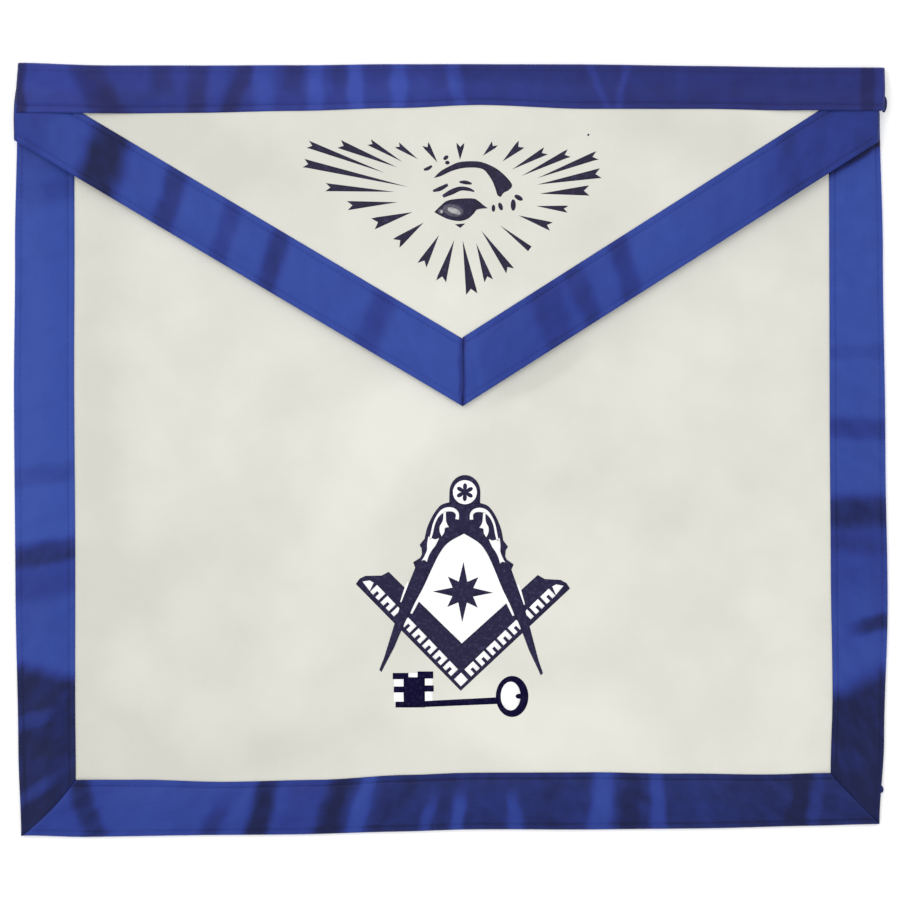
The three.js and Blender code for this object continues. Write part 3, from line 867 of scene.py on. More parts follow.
class Ribbon:
    """A satin ribbon folded over an edge, with a row of stitches along each side of its face."""

    def __init__(self, form, trim, turn, seat, turn_seat):
        self.form = form
        self.trim = trim
        self.course = getattr(form, trim.course)
        self.turn = turn
        self.seat = seat
        self.turn_seat = turn_seat

    def span(self, inward):
        """Shares of the course at which the ribbon starts and ends, a length in from its fold."""
        across = inward / self.course.width
        start = cut_back(self.trim.start, across) / self.course.length
        return start, 1 - cut_back(self.trim.end, across) / self.course.length

    def crown(self, inward):
        """0 at the rows of stitches and 1 in the middle of the face."""
        inset = self.form.sizes.stitch_inset
        share = (inward - inset) / (self.course.width - 2 * inset)
        return math.sin(math.pi * clamp(share))

    def unevenness(self, run, inward, pitch_along, pitch_across, shift=0):
        """Noise from -1 to 1 over the ribbon's face."""
        place = (run / pitch_along, inward / pitch_across, self.trim.seed + shift)
        return noise.noise(Vector(place))

    def pucker_sums(self, share, inward):
        """Lift, and painted shade and highlight as tone, that the puckers add."""
        across = inward / self.course.width
        run = share * self.course.length
        run += WAVER * self.unevenness(run, inward, WAVER_PITCH, WAVER_PITCH)
        lift = tone = 0
        for row in self.trim.puckers:
            breadth = row.breadth * PUCKER_SPREAD
            lean = row.lean * self.course.width * (across - 0.5)
            offset = (run - row.along * self.course.length - lean) / breadth
            if abs(offset) > PUCKER_REACH:
                continue
            fade = ease((row.side * (0.5 - across) + SIDE_MARGIN) * 2) if row.side else 0
            lift += row.lift * PUCKER_LIFT * bell(offset) * (1 - fade)
            tone += row.tone * bell(offset * offset) * (1 - fade)
        return lift, tone

    def grooves(self, inward):
        """1 where a row of stitches pulls the satin down and 0 away from them."""
        inset = self.form.sizes.stitch_inset
        from_sewn = self.course.width - inset - inward
        return bell((inward - inset) / GROOVE_SPREAD) + bell(from_sewn / GROOVE_SPREAD)

    def wrinkles(self, share, inward):
        """Fine unevenness: short tension wrinkles at the stitches and slow ripples between."""
        run = share * self.course.length
        inset = self.form.sizes.stitch_inset
        from_stitch = min(abs(inward - inset), abs(self.course.width - inset - inward))
        tension = self.unevenness(run, inward, TENSION_PITCH, TENSION_REACH)
        ripple = self.unevenness(run, inward, RIPPLE_PITCH, RIPPLE_PITCH, RIPPLE_SEED)
        pull = bell(from_stitch / TENSION_REACH) * (1 - bell(from_stitch / GROOVE_SPREAD))
        return TENSION_LIFT * tension * pull + RIPPLE_LIFT * ripple * self.crown(inward)

    def end_sums(self, share, inward):
        """What the two ends add to the height and the tone, turned down and raised as they are."""
        lift = tone = 0
        first, last = self.span(inward)
        for end, gap in ((self.trim.start, share - first), (self.trim.end, last - share)):
            distance = gap * self.course.length
            turned = rounding(distance, end.run)
            lift += (end.raised * bell(distance / PUCKER_SPREAD) - end.drop * turned) * MM
            tone -= end.shade * turned
        return lift, tone

    def surface(self, share, inward):
        """Height of the face and its tone, at a share of the course and a length from the fold."""
        point = self.course.at(share, inward)
        crown, grooves = self.crown(inward), self.grooves(inward)
        lift, tone = self.pucker_sums(share, inward)
        end_lift, end_tone = self.end_sums(share, inward)
        height = (
            self.seat(point.x, point.y)
            + self.form.sizes.satin_wall
            - EDGE_PRESS * (1 - crown)
            + (LOFT + lift) * crown
            + self.wrinkles(share, inward)
            - GROOVE_DEPTH * grooves
            + end_lift
        )
        # The tone is painted shade and sheen: the shades' along the run, the puckers' painted shade and
        # highlight, and painted shade where the ends turn down and in the grooves
        lean = read_row(self.trim.shades, "lean", share) * (inward - self.course.width / 2)
        base = read_row(self.trim.shades, "tone", share - lean / self.course.length)
        tone *= lerp(EDGE_TONE, 1, crown)
        return height, clamp(base + tone + end_tone - GROOVE_TONE * grooves)

    def place(self, u, v):
        face = self.course.width - FOLD_DEPTH
        fold = math.pi * FOLD_DEPTH
        developed = v * (face + fold + self.turn - FOLD_DEPTH)
        angle = clamp((developed - face) / FOLD_DEPTH, 0, math.pi)
        if developed <= face:
            inward = self.course.width - developed
        elif angle < math.pi:
            inward = FOLD_DEPTH * (1 - math.sin(angle))
        else:
            inward = FOLD_DEPTH + developed - face - fold
        first, last = self.span(inward)
        share = lerp(first, last, 1 - u)
        point = self.course.at(share, inward)
        height, tone = self.surface(share, max(inward, FOLD_DEPTH))
        if developed > face:
            low = self.turn_seat(point.x, point.y)
            height = (height + low) / 2 + (height - low) / 2 * math.cos(angle)
        return self.form.shifted(point.x, point.y, height), (share * self.course.length, developed), tone

    def make(self, material, rests_on, rows_in):
        """Makes the satin and its rows of stitches, each a length in from the folded edge."""
        developed = self.course.width + (math.pi - 2) * FOLD_DEPTH + self.turn
        cells_u = round(self.course.length / RIBBON_CELL_ALONG)
        cells_v = round(developed / RIBBON_CELL_ACROSS)
        bm = cloth_grid(cells_u, cells_v, self.place)
        piece = finish_mesh(bm, self.trim.satin, material)
        thicken(piece, self.form.sizes.satin_wall)
        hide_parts(self.trim.node)
        stitches = satin_bmesh()
        for inward in rows_in:
            stitch_row(stitches, self, inward)
        finish_mesh(stitches, self.trim.stitches, material)


def make_ribbon(form, trim, rests_on, seat, turn_seat):
    """Makes a border's ribbon, with a row of stitches along each side."""
    ribbon = Ribbon(form, trim, form.sizes.ribbon_turn, seat, turn_seat)
    inset = form.sizes.stitch_inset
    ribbon.make(satin_material(), rests_on, (inset, ribbon.course.width - inset))


def make_waistband(form):
    """Makes the waistband, with one row of stitches along its sewn edge."""
    ribbon = Ribbon(form, WAISTBAND_TRIM, form.sizes.waistband_turn, form.waist_seat, form.ground_turn)
    sewn_row = ribbon.course.width - form.sizes.stitch_inset
    ribbon.make(waistband_material(), ["flap_cloth"], (sewn_row,))


def satin_bmesh():
    """An empty bmesh with the layers that the satin reads."""
    bm = bmesh.new()
    bm.verts.layers.float.new("tone")
    bm.loops.layers.uv.new("cloth")
    return bm


def stitch_row(bm, ribbon, inward):
    """Lays a row of stitches along a ribbon, in the groove that they pull."""
    sizes = ribbon.form.sizes
    length = ribbon.course.length
    pitch = sizes.stitch_length + sizes.stitch_gap
    radius = sizes.thread / 2
    tones = bm.verts.layers.float["tone"]
    first, last = ribbon.span(inward)
    run = first * length + sizes.stitch_length
    while run + 2 * sizes.stitch_length < last * length:
        ends = []
        for share in (run / length, (run + sizes.stitch_length) / length):
            point = ribbon.course.at(share, inward)
            height, tone = ribbon.surface(share, inward)
            ends.append(ribbon.form.shifted(point.x, point.y, height))
        middle = (ends[0] + ends[1]) / 2
        middle.z += radius * THREAD_RISE
        along = ends[1] - ends[0]
        turn = along.to_track_quat("Z", "Y").to_matrix().to_4x4()
        stretch = Matrix.Diagonal((radius, radius, along.length / 2, 1))
        matrix = Matrix.Translation(middle) @ turn @ stretch
        made = bmesh.ops.create_uvsphere(
            bm, u_segments=STITCH_SIDES, v_segments=STITCH_RINGS, radius=1, matrix=matrix
        )
        # Each stitch takes the satin's painted shade and sheen there, a little darker
        for vert in made["verts"]:
            vert[tones] = clamp(tone - STITCH_TONE)
        run += pitch


def make_tuck(form, tuck):
    """A small folded end of satin that shows past the outline."""
    bm = satin_bmesh()
    tones = bm.verts.layers.float["tone"]
    matrix = (
        Matrix.Translation(form.shifted(*(Vector(tuck.place) * MM)))
        @ Matrix.Rotation(math.radians(tuck.turn), 4, "Z")
        @ Matrix.Diagonal((*(Vector(tuck.radii) * MM), 1))
    )
    made = bmesh.ops.create_icosphere(bm, subdivisions=TUCK_HALVINGS, radius=1, matrix=matrix)
    # The tuck is painted in shade, at a fixed tone
    for vert in made["verts"]:
        vert[tones] = TUCK_TONE
    finish_mesh(bm, tuck.name, satin_material())


# Printed figures, drawn on a flat plan in millimetres and laid on the cloth

def smooth_run(points):
    """A smooth line through these points, less its last one."""
    corners = [Vector((*point, 0)[:3]) for point in points]
    line = []
    for i, (first, last) in enumerate(zip(corners, corners[1:])):
        before, after = corners[max(i - 1, 0)], corners[min(i + 2, len(corners) - 1)]
        handles = first + (last - before) / 6, last - (after - first) / 6
        line += interpolate_bezier(first, *handles, last, CURVE_STEPS + 1)[:-1]
    return line


def add_outline(bm, points):
    """A filled outline on the plan."""
    bm.faces.new([bm.verts.new((point[0] * MM, point[1] * MM, 0)) for point in points])


def add_smooth_outline(bm, *runs):
    """A filled outline of smooth runs, each of which starts where the one before it ends."""
    add_outline(bm, [point for run in runs for point in smooth_run(run)])


def add_ellipse(bm, centre, radii, turn=0, sides=SPOT_SIDES):
    points = []
    for i in range(sides):
        angle = 2 * math.pi * i / sides
        point = Vector((radii[0] * math.cos(angle), radii[1] * math.sin(angle)))
        point.rotate(Matrix.Rotation(math.radians(turn), 2))
        points.append((centre[0] + point.x, centre[1] + point.y))
    add_outline(bm, points)


def add_stroke(bm, points):
    """A stroke along a smooth line through points that each have a place and a width."""
    line = smooth_run(points) + [Vector(points[-1])]
    left, right = [], []
    for i, point in enumerate(line):
        ahead = line[min(i + 1, len(line) - 1)] - line[max(i - 1, 0)]
        side = Vector((-ahead.y, ahead.x, 0)).normalized() * point.z / 2
        left.append(point + side)
        right.append(point - side)
    add_outline(bm, left + right[::-1])


def add_box(bm, low, high):
    add_outline(bm, [low, (high[0], low[1]), high, (low[0], high[1])])


def mirrored(points):
    """A half outline from its upper end on the middle line, completed on the other side."""
    other = [(-x, y) for x, y in points if x != 0]
    return points + other[::-1]


def cut_up(bm):
    """Cuts a flat figure so that no face is wider than a print cell."""
    bm.normal_update()
    bmesh.ops.triangulate(bm, faces=bm.faces[:])
    for axis in (Vector((1, 0, 0)), Vector((0, 1, 0))):
        reach = [vert.co.dot(axis) for vert in bm.verts]
        step = math.floor(min(reach) / PRINT_CELL) + 1
        while step * PRINT_CELL < max(reach):
            geometry = bm.verts[:] + bm.edges[:] + bm.faces[:]
            bmesh.ops.bisect_plane(bm, geom=geometry, plane_co=axis * step * PRINT_CELL, plane_no=axis)
            step += 1


def print_place(place, lean=0):
    """The matrix that puts a figure's plan at a place in millimetres, with a lean in degrees."""
    turn = Matrix.Rotation(math.radians(lean), 4, "Z")
    return Matrix.Translation((place[0] * MM, place[1] * MM, 0)) @ turn


def lay_print(bm, name, form, place, height, level, material):
    """Lays a flat figure on the cloth: place is where its plan goes, and level its layer."""
    cut_up(bm)
    bmesh.ops.transform(bm, matrix=place, verts=bm.verts[:])
    lift = level * PRINT_LAYER
    for vert in bm.verts:
        vert.co = form.shifted(vert.co.x, vert.co.y, height(vert.co.x, vert.co.y) + lift)
    bm.normal_update()
    bmesh.ops.reverse_faces(bm, faces=[face for face in bm.faces if face.normal.z < 0])
    piece = finish_mesh(bm, name, material)
    thicken(piece, lift + PRINT_SINK)


def lay_layers(form, place, height, layers):
    """Lays the drawn layers of a figure one over the other, from the lowest up."""
    for level, (name, bm, material) in enumerate(layers, start=1):
        lay_print(bm, name, form, place, height, level, material)


# Eye in rays: its place, and each ray's turn, swing of the inner end, inner and outer reach, spread
# and notch. Where the notch starts, a ray is as broad as the ray body's share of its spread
EYE_PLACE = (4.4, 117.9)
RAYS = table(
    Ray,
    (161.3, 1.7, 36.2, 74.3, 3.5, 2.2),
    (156.7, -1.2, 31.8, 60.7, 4, 2.2),
    (149.3, 0, 31, 48.7, 3.1, 1.8),
    (140.7, -2.1, 25.6, 37.4, 3, 1.6),
    (123.3, 0, 18.4, 28.7, 3.4, 1.8),
    (88.7, 0, 16.6, 24.6, 3.6, 2),
    (55.8, 3.5, 21.5, 29.4, 3.3, 1.6),
    (39.5, -1.3, 25.6, 37.6, 4.2, 2),
    (27.3, -1, 27.4, 45.4, 3.7, 2.2),
    (21.1, -3.6, 30.4, 54.8, 3.8, 2.2),
    (16.2, -3.6, 37.2, 66.9, 4, 2.4),
    (9, -1, 36.5, 66.6, 4.6, 2.5),
    (2.2, -0.9, 37.3, 60.5, 4.7, 2.5),
    (-7.2, -0.6, 36, 51, 3.2, 2),
    (-18.6, 0, 29, 45.2, 4, 2.2),
    (-37.1, 0.9, 23.5, 41.1, 3, 0),
    (-56, -1.8, 19.3, 42.3, 4.3, 2.2),
    (-70.9, 0.4, 23.6, 42, 4.2, 2.2),
    (-82.8, -2.8, 20.9, 46.2, 5.3, 2.5),
    (-101.8, 5.4, 20.7, 40.8, 4.7, 2.4),
    (-118.1, 1, 20.7, 36.7, 4.6, 2.4),
    (-142.8, 0.1, 20.8, 36.8, 5, 2.4),
    (-161.8, 1.3, 23.1, 42.2, 5.3, 2.5),
    (-174.8, 1, 28.8, 52.2, 4.2, 2.4),
    (176.4, 0.3, 30.1, 62.2, 3.8, 2.2),
    (168.2, 2.2, 24.1, 73.9, 4, 2.2),
)
RAY_BODY = 0.92

UPPER_LID = [
    (-11.6, -7.7), (-8.7, -4.8), (-5.3, -2.3), (0.8, -1.4), (6.6, -1.4), (8.9, -2.5), (11.2, -4.4),
    (13.3, -5.9),
]
LOWER_LID = [
    (13.3, -5.9), (8.5, -6.5), (6.6, -8.6), (3.9, -10.9), (0.1, -11.9), (-4.9, -11.1), (-8.7, -9.4),
    (-11.6, -7.7),
]
BROW_OUTER = [
    (-11.8, 8.2), (-8.7, 11.3), (-3.7, 14.1), (0.8, 15.7), (8.5, 15.9), (13.5, 14.5), (18.1, 12),
    (22.3, 8.2), (24.6, 4.8), (23, 2.5), (20.7, 1.3), (19.2, -0.6), (17.7, 0.2),
]
BROW_INNER = [
    (17.7, 0.2), (16.5, 4), (15, 7.4), (11.9, 11.6), (8.9, 12.8), (5, 13), (0.8, 12.6),
    (-3.7, 11.3), (-8.7, 9), (-11.8, 8.2),
]
# Strokes round the eye: places and widths
EYE_STROKES = [
    [(-7.6, -0.4, 1.4), (-3.4, 1.7, 2.5), (0.5, 3.2, 2), (4.3, 2.9, 1.6), (7, 1.9, 0.7)],
    [(0.1, 6.3, 0.8), (2.9, 6.1, 1.8), (5.8, 5.5, 0.8)],
    [(-12.2, 2.1, 1), (-8.8, 3.2, 2), (-5.3, 5.1, 1.3)],
    [(-16.4, 12, 1), (-14.5, 12.6, 1.6), (-12.7, 13.8, 1)],
]
EYE_DOTS = table(
    Dot,
    ((-6.2, 17.6), (1.4, 0.9), 40),
    ((-5.5, 15.3), (1.1, 0.9), 0),
    ((15.9, -5.9), (0.85, 1.7), 0),
    ((19.2, -5.1), (1, 1.9), 20),
    ((25.1, -4.4), (1.2, 2.7), 0),
    ((27.6, -1), (2.2, 1.1), -30),
    ((60, 28.2), (0.6, 0.45), 50),
)
EYE_DROP = [(-2, -13.4), (2.8, -13), (0.5, -15.1)]
EYE_GREYS = table(Dot, ((-2.9, -6.9), (5, 2.8), -12), ((-8.6, -7.4), (1.3, 1.2), 0))
EYE_GLINTS = table(Dot, ((-2.4, -7.2), (3.2, 1.3), -22), ((-8.2, -7.5), (0.6, 0.8), 0))


def add_ray(bm, ray):
    """A wedge with a pointed inner end and a forked outer end."""
    angle = math.radians(ray.turn)
    inner = math.radians(ray.turn + ray.swing)
    direction = Vector((math.cos(angle), math.sin(angle)))
    side = Vector((-direction.y, direction.x)) * ray.spread / 2
    add_outline(bm, [
        (ray.near * math.cos(inner), ray.near * math.sin(inner)),
        direction * (ray.far - ray.notch) - side * RAY_BODY,
        direction * ray.far - side,
        direction * (ray.far - ray.notch),
        direction * ray.far + side,
        direction * (ray.far - ray.notch) + side * RAY_BODY,
    ])


def make_eye_print(form):
    ink, grey, glint = [bmesh.new() for _ in range(3)]
    for ray in RAYS:
        add_ray(ink, ray)
    add_smooth_outline(ink, UPPER_LID, LOWER_LID)
    add_smooth_outline(ink, BROW_OUTER, BROW_INNER)
    for stroke in EYE_STROKES:
        add_stroke(ink, stroke)
    for dot in EYE_DOTS:
        add_ellipse(ink, *dot, sides=DOT_SIDES)
    add_outline(ink, EYE_DROP)
    for dots, layer in ((EYE_GREYS, grey), (EYE_GLINTS, glint)):
        for dot in dots:
            add_ellipse(layer, *dot)
    lay_layers(form, print_place(EYE_PLACE), form.flap_top, [
        ("eye_print", ink, eye_ink_material()),
        ("eye_grey_print", grey, grey_print_material()),
        ("eye_glint_print", glint, pale_print_material()),
    ])


# Compasses over a square: the hinge's place on the plan, the lean of the middle line, and the sizes
# and the right halves of the outlines, from the hinge
TOOLS_PLACE = (7.06, -19.97)
TOOLS_LEAN = -1.2
HINGE_RADIUS = 8
HINGE_NARROW = 7.2
HINGE_HOLLOW = 5.6
FLOWER_REACH = 4.2
FLOWER_WAIST = 1.5
FLOWER_PETALS = 6
SHOULDER = [(0, -4.9), (7.4, -4.9), (11.2, -6.4), (14.6, -10.9), (17.2, -16.8), (18.3, -22)]
KNOB = [(20.6, -25), (19.6, -26.6), (19.4, -29.4), (20.2, -31), (23.4, -33.1), (22.4, -35.6)]
LEG_OUTER = [(28.4, -51.4), (31.6, -62.4), (36, -77.8), (38.1, -83.5), (37.1, -84.5), (35.9, -82)]
LEG_INNER = [(31.4, -73), (28.2, -65), (24.3, -56.1), (18.6, -45), (14.4, -35.4), (10.9, -28.2), (7, -23.4)]
LEG_APEX = (0, -19.3)
SQUARE = [
    (0, -70.4), (27.2, -44.9), (34.7, -37.8), (38, -39.6), (45.5, -39.9), (48.2, -41.3),
    (49.9, -43.8), (0, -92.5),
]
FIELD = [(0, -18.8), (9.4, -24), (15.6, -34.6), (25, -56), (20, -52), (0, -71)]
# White lines beside the legs where they cross the square: places and widths
HALOS = [
    [(25.6, -42.4, 0.6), (26.6, -45.4, 1.2), (28.7, -51.8, 0.8)],
    [(17.8, -44.6, 1), (20.8, -50.6, 1.4), (23.8, -57, 0.9)],
]
TOOTH_PITCH = 6.98
TOOTH_WIDTH = 5.6
TOOTH_SLIT = 1.5
TOOTH_INNER = 6
TOOTH_ROOF = 1.9
TOOTH_OUTER = 1.5
TOOTH_START = 10.9
TOOTH_COUNT = 8
ARM_END_TOOTH = [(62.9, 1.6), (68.4, 2.2), (66.4, 5), (64.4, 5.6)]
CORNER_DIAMOND = [(0, -90.4), (3.2, -87.2), (0, -84), (-3.2, -87.2)]
# Leaf scrolls on a shoulder: the places and widths of an arch, and a branch and a leaf as runs
ARCH = [
    (3.4, -12.7, 1.6), (3.3, -10.3, 1.5), (4.7, -8.6, 1.7), (7.3, -8.1, 2), (10.2, -9, 1.7),
    (12.6, -11.7, 1.1), (14.1, -15.1, 1), (14.9, -18.9, 1), (15.8, -22.4, 0.9),
]
BRANCH = [
    [(8.7, -9), (8.6, -11.8), (8.3, -14.2), (7.1, -16.4)],
    [(7.1, -16.4), (8.9, -16.9), (9.2, -18.8), (10.4, -20.8)],
    [(10.4, -20.8), (11.4, -18.4), (11.3, -16), (10.2, -14), (9.8, -11.8), (9.9, -9)],
    [(9.9, -9), (8.7, -9)],
]
LEAF = [
    [(16.6, -21), (17.1, -24.6), (17.1, -27.3), (18.4, -30.5), (19.5, -32.3)],
    [(19.5, -32.3), (18.2, -32), (17, -32.8)],
    [(17, -32.8), (16.2, -30), (14.9, -27.5), (13, -24.8), (11.6, -21.6)],
    [(11.6, -21.6), (13.2, -22.2), (14.4, -22), (16.6, -21)],
]
STAR_PLACE = (0, -46.5)
STAR_LONG = 14
STAR_SHORT = 10
STAR_WAIST = 5.2


def add_star(bm, centre, long, short, waist):
    """An eight-pointed star of four long and four short points."""
    points = []
    for i in range(16):
        radius = waist if i % 2 else (long if i % 4 == 0 else short)
        angle = math.pi * i / 8
        points.append((centre[0] + radius * math.sin(angle), centre[1] + radius * math.cos(angle)))
    add_outline(bm, points)


def add_flower(bm, reach, waist, petals):
    """A flower of round petals, one of which points up."""
    steps = PETAL_STEPS * petals
    points = []
    for i in range(steps):
        angle = 2 * math.pi * i / steps
        radius = lerp(waist, reach, abs(math.cos(petals / 2 * angle)))
        points.append((radius * math.sin(angle), radius * math.cos(angle)))
    add_outline(bm, points)


def add_teeth(bm):
    """The graduated edge of the square: blocks with a slit, open to the outside of both arms."""
    root = math.sqrt(0.5)
    corner = Vector((0, SQUARE[-1][1]))
    half, slit, roof = TOOTH_WIDTH / 2, TOOTH_SLIT / 2, TOOTH_INNER - TOOTH_ROOF
    block = [
        (-half, TOOTH_OUTER), (-half, TOOTH_INNER), (half, TOOTH_INNER), (half, TOOTH_OUTER),
        (slit, TOOTH_OUTER), (slit, roof), (-slit, roof), (-slit, TOOTH_OUTER),
    ]
    for side in (-1, 1):
        along, inward = Vector((side * root, root)), Vector((-side * root, root))
        for i in range(TOOTH_COUNT):
            run = TOOTH_START + i * TOOTH_PITCH
            add_outline(bm, [corner + along * (run + a) + inward * b for a, b in block])
        add_outline(bm, [corner + along * a + inward * b for a, b in ARM_END_TOOTH])
    add_outline(bm, CORNER_DIAMOND)


def make_tools_print(form):
    field, square, edge, halo, compasses, trim, marks = [bmesh.new() for _ in range(7)]
    add_outline(field, mirrored(FIELD))
    add_outline(square, mirrored(SQUARE))
    add_teeth(edge)
    shoulder = [(point.x, point.y) for point in smooth_run(SHOULDER[1:])]
    inner = [(point.x, point.y) for point in smooth_run(LEG_INNER + [LEG_APEX])]
    leg = SHOULDER[:1] + shoulder + SHOULDER[-1:] + KNOB + LEG_OUTER + inner + [LEG_APEX]
    add_outline(compasses, mirrored(leg))
    add_ellipse(compasses, (0, 0), (HINGE_NARROW, HINGE_RADIUS), sides=ROUND_SIDES)
    add_box(compasses, (-HINGE_NARROW, -HINGE_RADIUS), (HINGE_NARROW, 0))
    add_ellipse(trim, (0, 0), (HINGE_HOLLOW, HINGE_HOLLOW), sides=HOLLOW_SIDES)
    for side in (-1, 1):
        for strokes, layer in ((HALOS, halo), ([ARCH], trim)):
            for stroke in strokes:
                add_stroke(layer, [(side * x, y, width) for x, y, width in stroke])
        for runs in (BRANCH, LEAF):
            add_smooth_outline(trim, *[[(side * x, y) for x, y in run] for run in runs])
    add_star(marks, STAR_PLACE, STAR_LONG, STAR_SHORT, STAR_WAIST)
    add_flower(marks, FLOWER_REACH, FLOWER_WAIST, FLOWER_PETALS)
    lay_layers(form, print_place(TOOLS_PLACE, TOOLS_LEAN), form.body_top, [
        ("field_print", field, white_print_material()),
        ("square_print", square, ink_material()),
        ("square_edge_print", edge, white_print_material()),
        ("compasses_halo_print", halo, white_print_material()),
        ("compasses_print", compasses, ink_material()),
        ("compasses_trim_print", trim, white_print_material()),
        ("star_print", marks, ink_material()),
    ])


# Key: its place on the plan, its bars and the white between them as low and high corners
KEY_PLACE = (4.44, -116.9)
KEY_BARS = [
    ((-25.9, -3.3), (-16, 10.8)),
    ((-31, 9.9), (-23.7, 12.8)),
    ((-19.4, 10.2), (-12.1, 13.5)),
    ((-30.5, 3.7), (-25.4, 6.5)),
    ((-16.5, 4.1), (-11.9, 7)),
    ((-29.7, -3.3), (-25.4, -0.6)),
]
KEY_WHITES = [((-30.4, -0.8), (-25.6, 10)), ((-16.3, -0.4), (-12.4, 10.4)), ((-24, 10.6), (-19.2, 12.8))]
KEY_SHAFT = [(-16.4, -3.1), (-16.4, -0.3), (17.6, 1.4), (17.6, -1.7)]
KEY_BOW = Dot((24.6, 1.8), (7.6, 9.6), 0)
KEY_HOLE = Dot((23.9, 2), (4.6, 6.7), 0)
KEY_BUMP = Dot((28, 1.9), (1.8, 1.2), 0)


def make_key_print(form):
    white, ink, hole, bump = [bmesh.new() for _ in range(4)]
    for low, high in KEY_WHITES:
        add_box(white, low, high)
    for low, high in KEY_BARS:
        add_box(ink, low, high)
    add_outline(ink, KEY_SHAFT)
    add_ellipse(ink, *KEY_BOW, sides=ROUND_SIDES)
    add_ellipse(hole, *KEY_HOLE, sides=HOLLOW_SIDES)
    add_ellipse(bump, *KEY_BUMP)
    lay_layers(form, print_place(KEY_PLACE), form.body_top, [
        ("key_white_print", white, white_print_material()),
        ("key_print", ink, key_ink_material()),
        ("key_hole_print", hole, white_print_material()),
        ("key_bump_print", bump, key_ink_material()),
    ])


# Materials

class Finish:
    """A material and the nodes that feed its shader."""

    def __init__(self, name, roughness, specular):
        self.material = bpy.data.materials.new(name)
        self.material.use_nodes = True
        self.inputs = self.material.node_tree.nodes["Principled BSDF"].inputs
        self.inputs["Roughness"].default_value = roughness
        self.inputs["Specular IOR Level"].default_value = specular

    def add(self, kind, values=(), sockets=(), **settings):
        """A node with its inputs' values, the sockets that feed it and its settings."""
        node = self.material.node_tree.nodes.new("ShaderNode" + kind)
        for name, value in settings.items():
            setattr(node, name, value)
        for name, value in dict(values).items():
            node.inputs[name].default_value = value
        for name, socket in dict(sockets).items():
            self.feed(socket, node.inputs[name])
        return node

    def feed(self, socket, taker):
        self.material.node_tree.links.new(socket, taker)

    def mix(self, share, *colours):
        """A mix through evenly spaced colours, by a socket."""
        ramp = self.add("ValToRGB", (), {"Fac": share})
        elements = ramp.color_ramp.elements
        for i, colour in enumerate(colours[1:-1], start=1):
            elements.new(i / (len(colours) - 1)).color = (*colour, 1)
        elements[0].color = (*colours[0], 1)
        elements[-1].color = (*colours[-1], 1)
        return ramp.outputs["Color"]

    def noise(self, vector, scale, detail):
        """Noise from 0 to 1 over a vector socket."""
        texture = self.add("TexNoise", {"Scale": scale, "Detail": detail}, {"Vector": vector})
        return texture.outputs["Fac"]

    def play(self, base, varying, play):
        """A base socket moved up and down by a varying one, kept from 0 to 1."""
        spread = self.add("Math", {1: 2 * play, 2: -play}, {0: varying}, operation="MULTIPLY_ADD")
        sockets = {0: base, 1: spread.outputs[0]}
        return self.add("Math", (), sockets, operation="ADD", use_clamp=True).outputs[0]

    def bump(self, height, strength, distance):
        """A bump from a height socket on the material's shader."""
        bump = self.add("Bump", {"Strength": strength, "Distance": distance}, {"Height": height})
        self.feed(bump.outputs[0], self.inputs["Normal"])


def remember(make):
    """Makes a material on the first call and gives the same one after that."""
    kept = {}

    def give():
        if "material" not in kept:
            kept["material"] = make(bpy.context.scene.apron_colours)
        return kept["material"]

    return give


def satin(name, *colours):
    """Satin whose threads run along the ribbon, in colours from painted shade to painted sheen by its tone.
    """
    finish = Finish(name, SATIN_ROUGHNESS, SATIN_SPECULAR)
    tone = finish.add("Attribute", attribute_name="tone").outputs["Fac"]
    flat = finish.add("UVMap", uv_map="cloth").outputs[0]
    threads = finish.add("Mapping", {"Scale": (THREAD_RUN, THREAD_PITCH, 1)}, {0: flat})
    streaks = finish.noise(threads.outputs[0], 1, STREAK_DETAIL)
    share = finish.play(tone, streaks, STREAK_PLAY)
    share = finish.play(share, finish.noise(flat, CLOUD_SCALE, CLOUD_DETAIL), CLOUD_PLAY)
    finish.feed(finish.mix(share, *colours), finish.inputs["Base Color"])
    finish.inputs["Anisotropic"].default_value = SATIN_ANISOTROPY
    tangent = finish.add("Tangent", direction_type="UV_MAP", uv_map="cloth")
    finish.feed(tangent.outputs[0], finish.inputs["Tangent"])
    finish.bump(streaks, THREAD_BUMP, THREAD_DEPTH)
    return finish.material


@remember
def satin_material(colours):
    return satin("blue satin", colours.satin_dark, colours.satin_middle, colours.satin_lit)


@remember
def waistband_material(colours):
    dark, middle, lit = colours.waistband_dark, colours.waistband_middle, colours.waistband_lit
    return satin("waistband satin", dark, middle, lit)


@remember
def cloth_material(colours):
    """White woven cloth with soft bands of painted light and shade and a faint mottle."""
    finish = Finish("white cloth", MATTE, CLOTH_SPECULAR)
    place = finish.add("TexCoord").outputs["Object"]
    tone = finish.add("Attribute", attribute_name="tone").outputs["Fac"]
    mottle = finish.noise(place, MOTTLE_SCALE, MOTTLE_DETAIL)
    share = finish.play(tone, mottle, MOTTLE_PLAY)
    base = finish.mix(share, colours.cloth_shaded, colours.cloth)
    finish.feed(base, finish.inputs["Base Color"])
    values = {"Scale": WAVE_UNIT / WEAVE_PITCH, "Distortion": WEAVE_WAVER, "Detail": 1}
    waves = [
        finish.add("TexWave", values, {"Vector": place}, bands_direction=axis).outputs["Fac"]
        for axis in "XY"
    ]
    weave = finish.add("Math", (), dict(enumerate(waves)), operation="ADD")
    finish.bump(weave.outputs[0], WEAVE_BUMP, WEAVE_DEPTH)
    return finish.material


def print_material(name, ink, worn):
    """A printed colour with faint wear."""
    finish = Finish(name, MATTE, 0)
    place = finish.add("TexCoord").outputs["Object"]
    specks = finish.noise(place, SPECK_SCALE, SPECK_DETAIL)
    reach = {"From Min": WEAR_START, "From Max": WEAR_FULL}
    wear = finish.add("MapRange", reach, {"Value": specks})
    finish.feed(finish.mix(wear.outputs[0], ink, worn), finish.inputs["Base Color"])
    return finish.material


@remember
def ink_material(colours):
    return print_material("dark ink", colours.ink, colours.worn_ink)


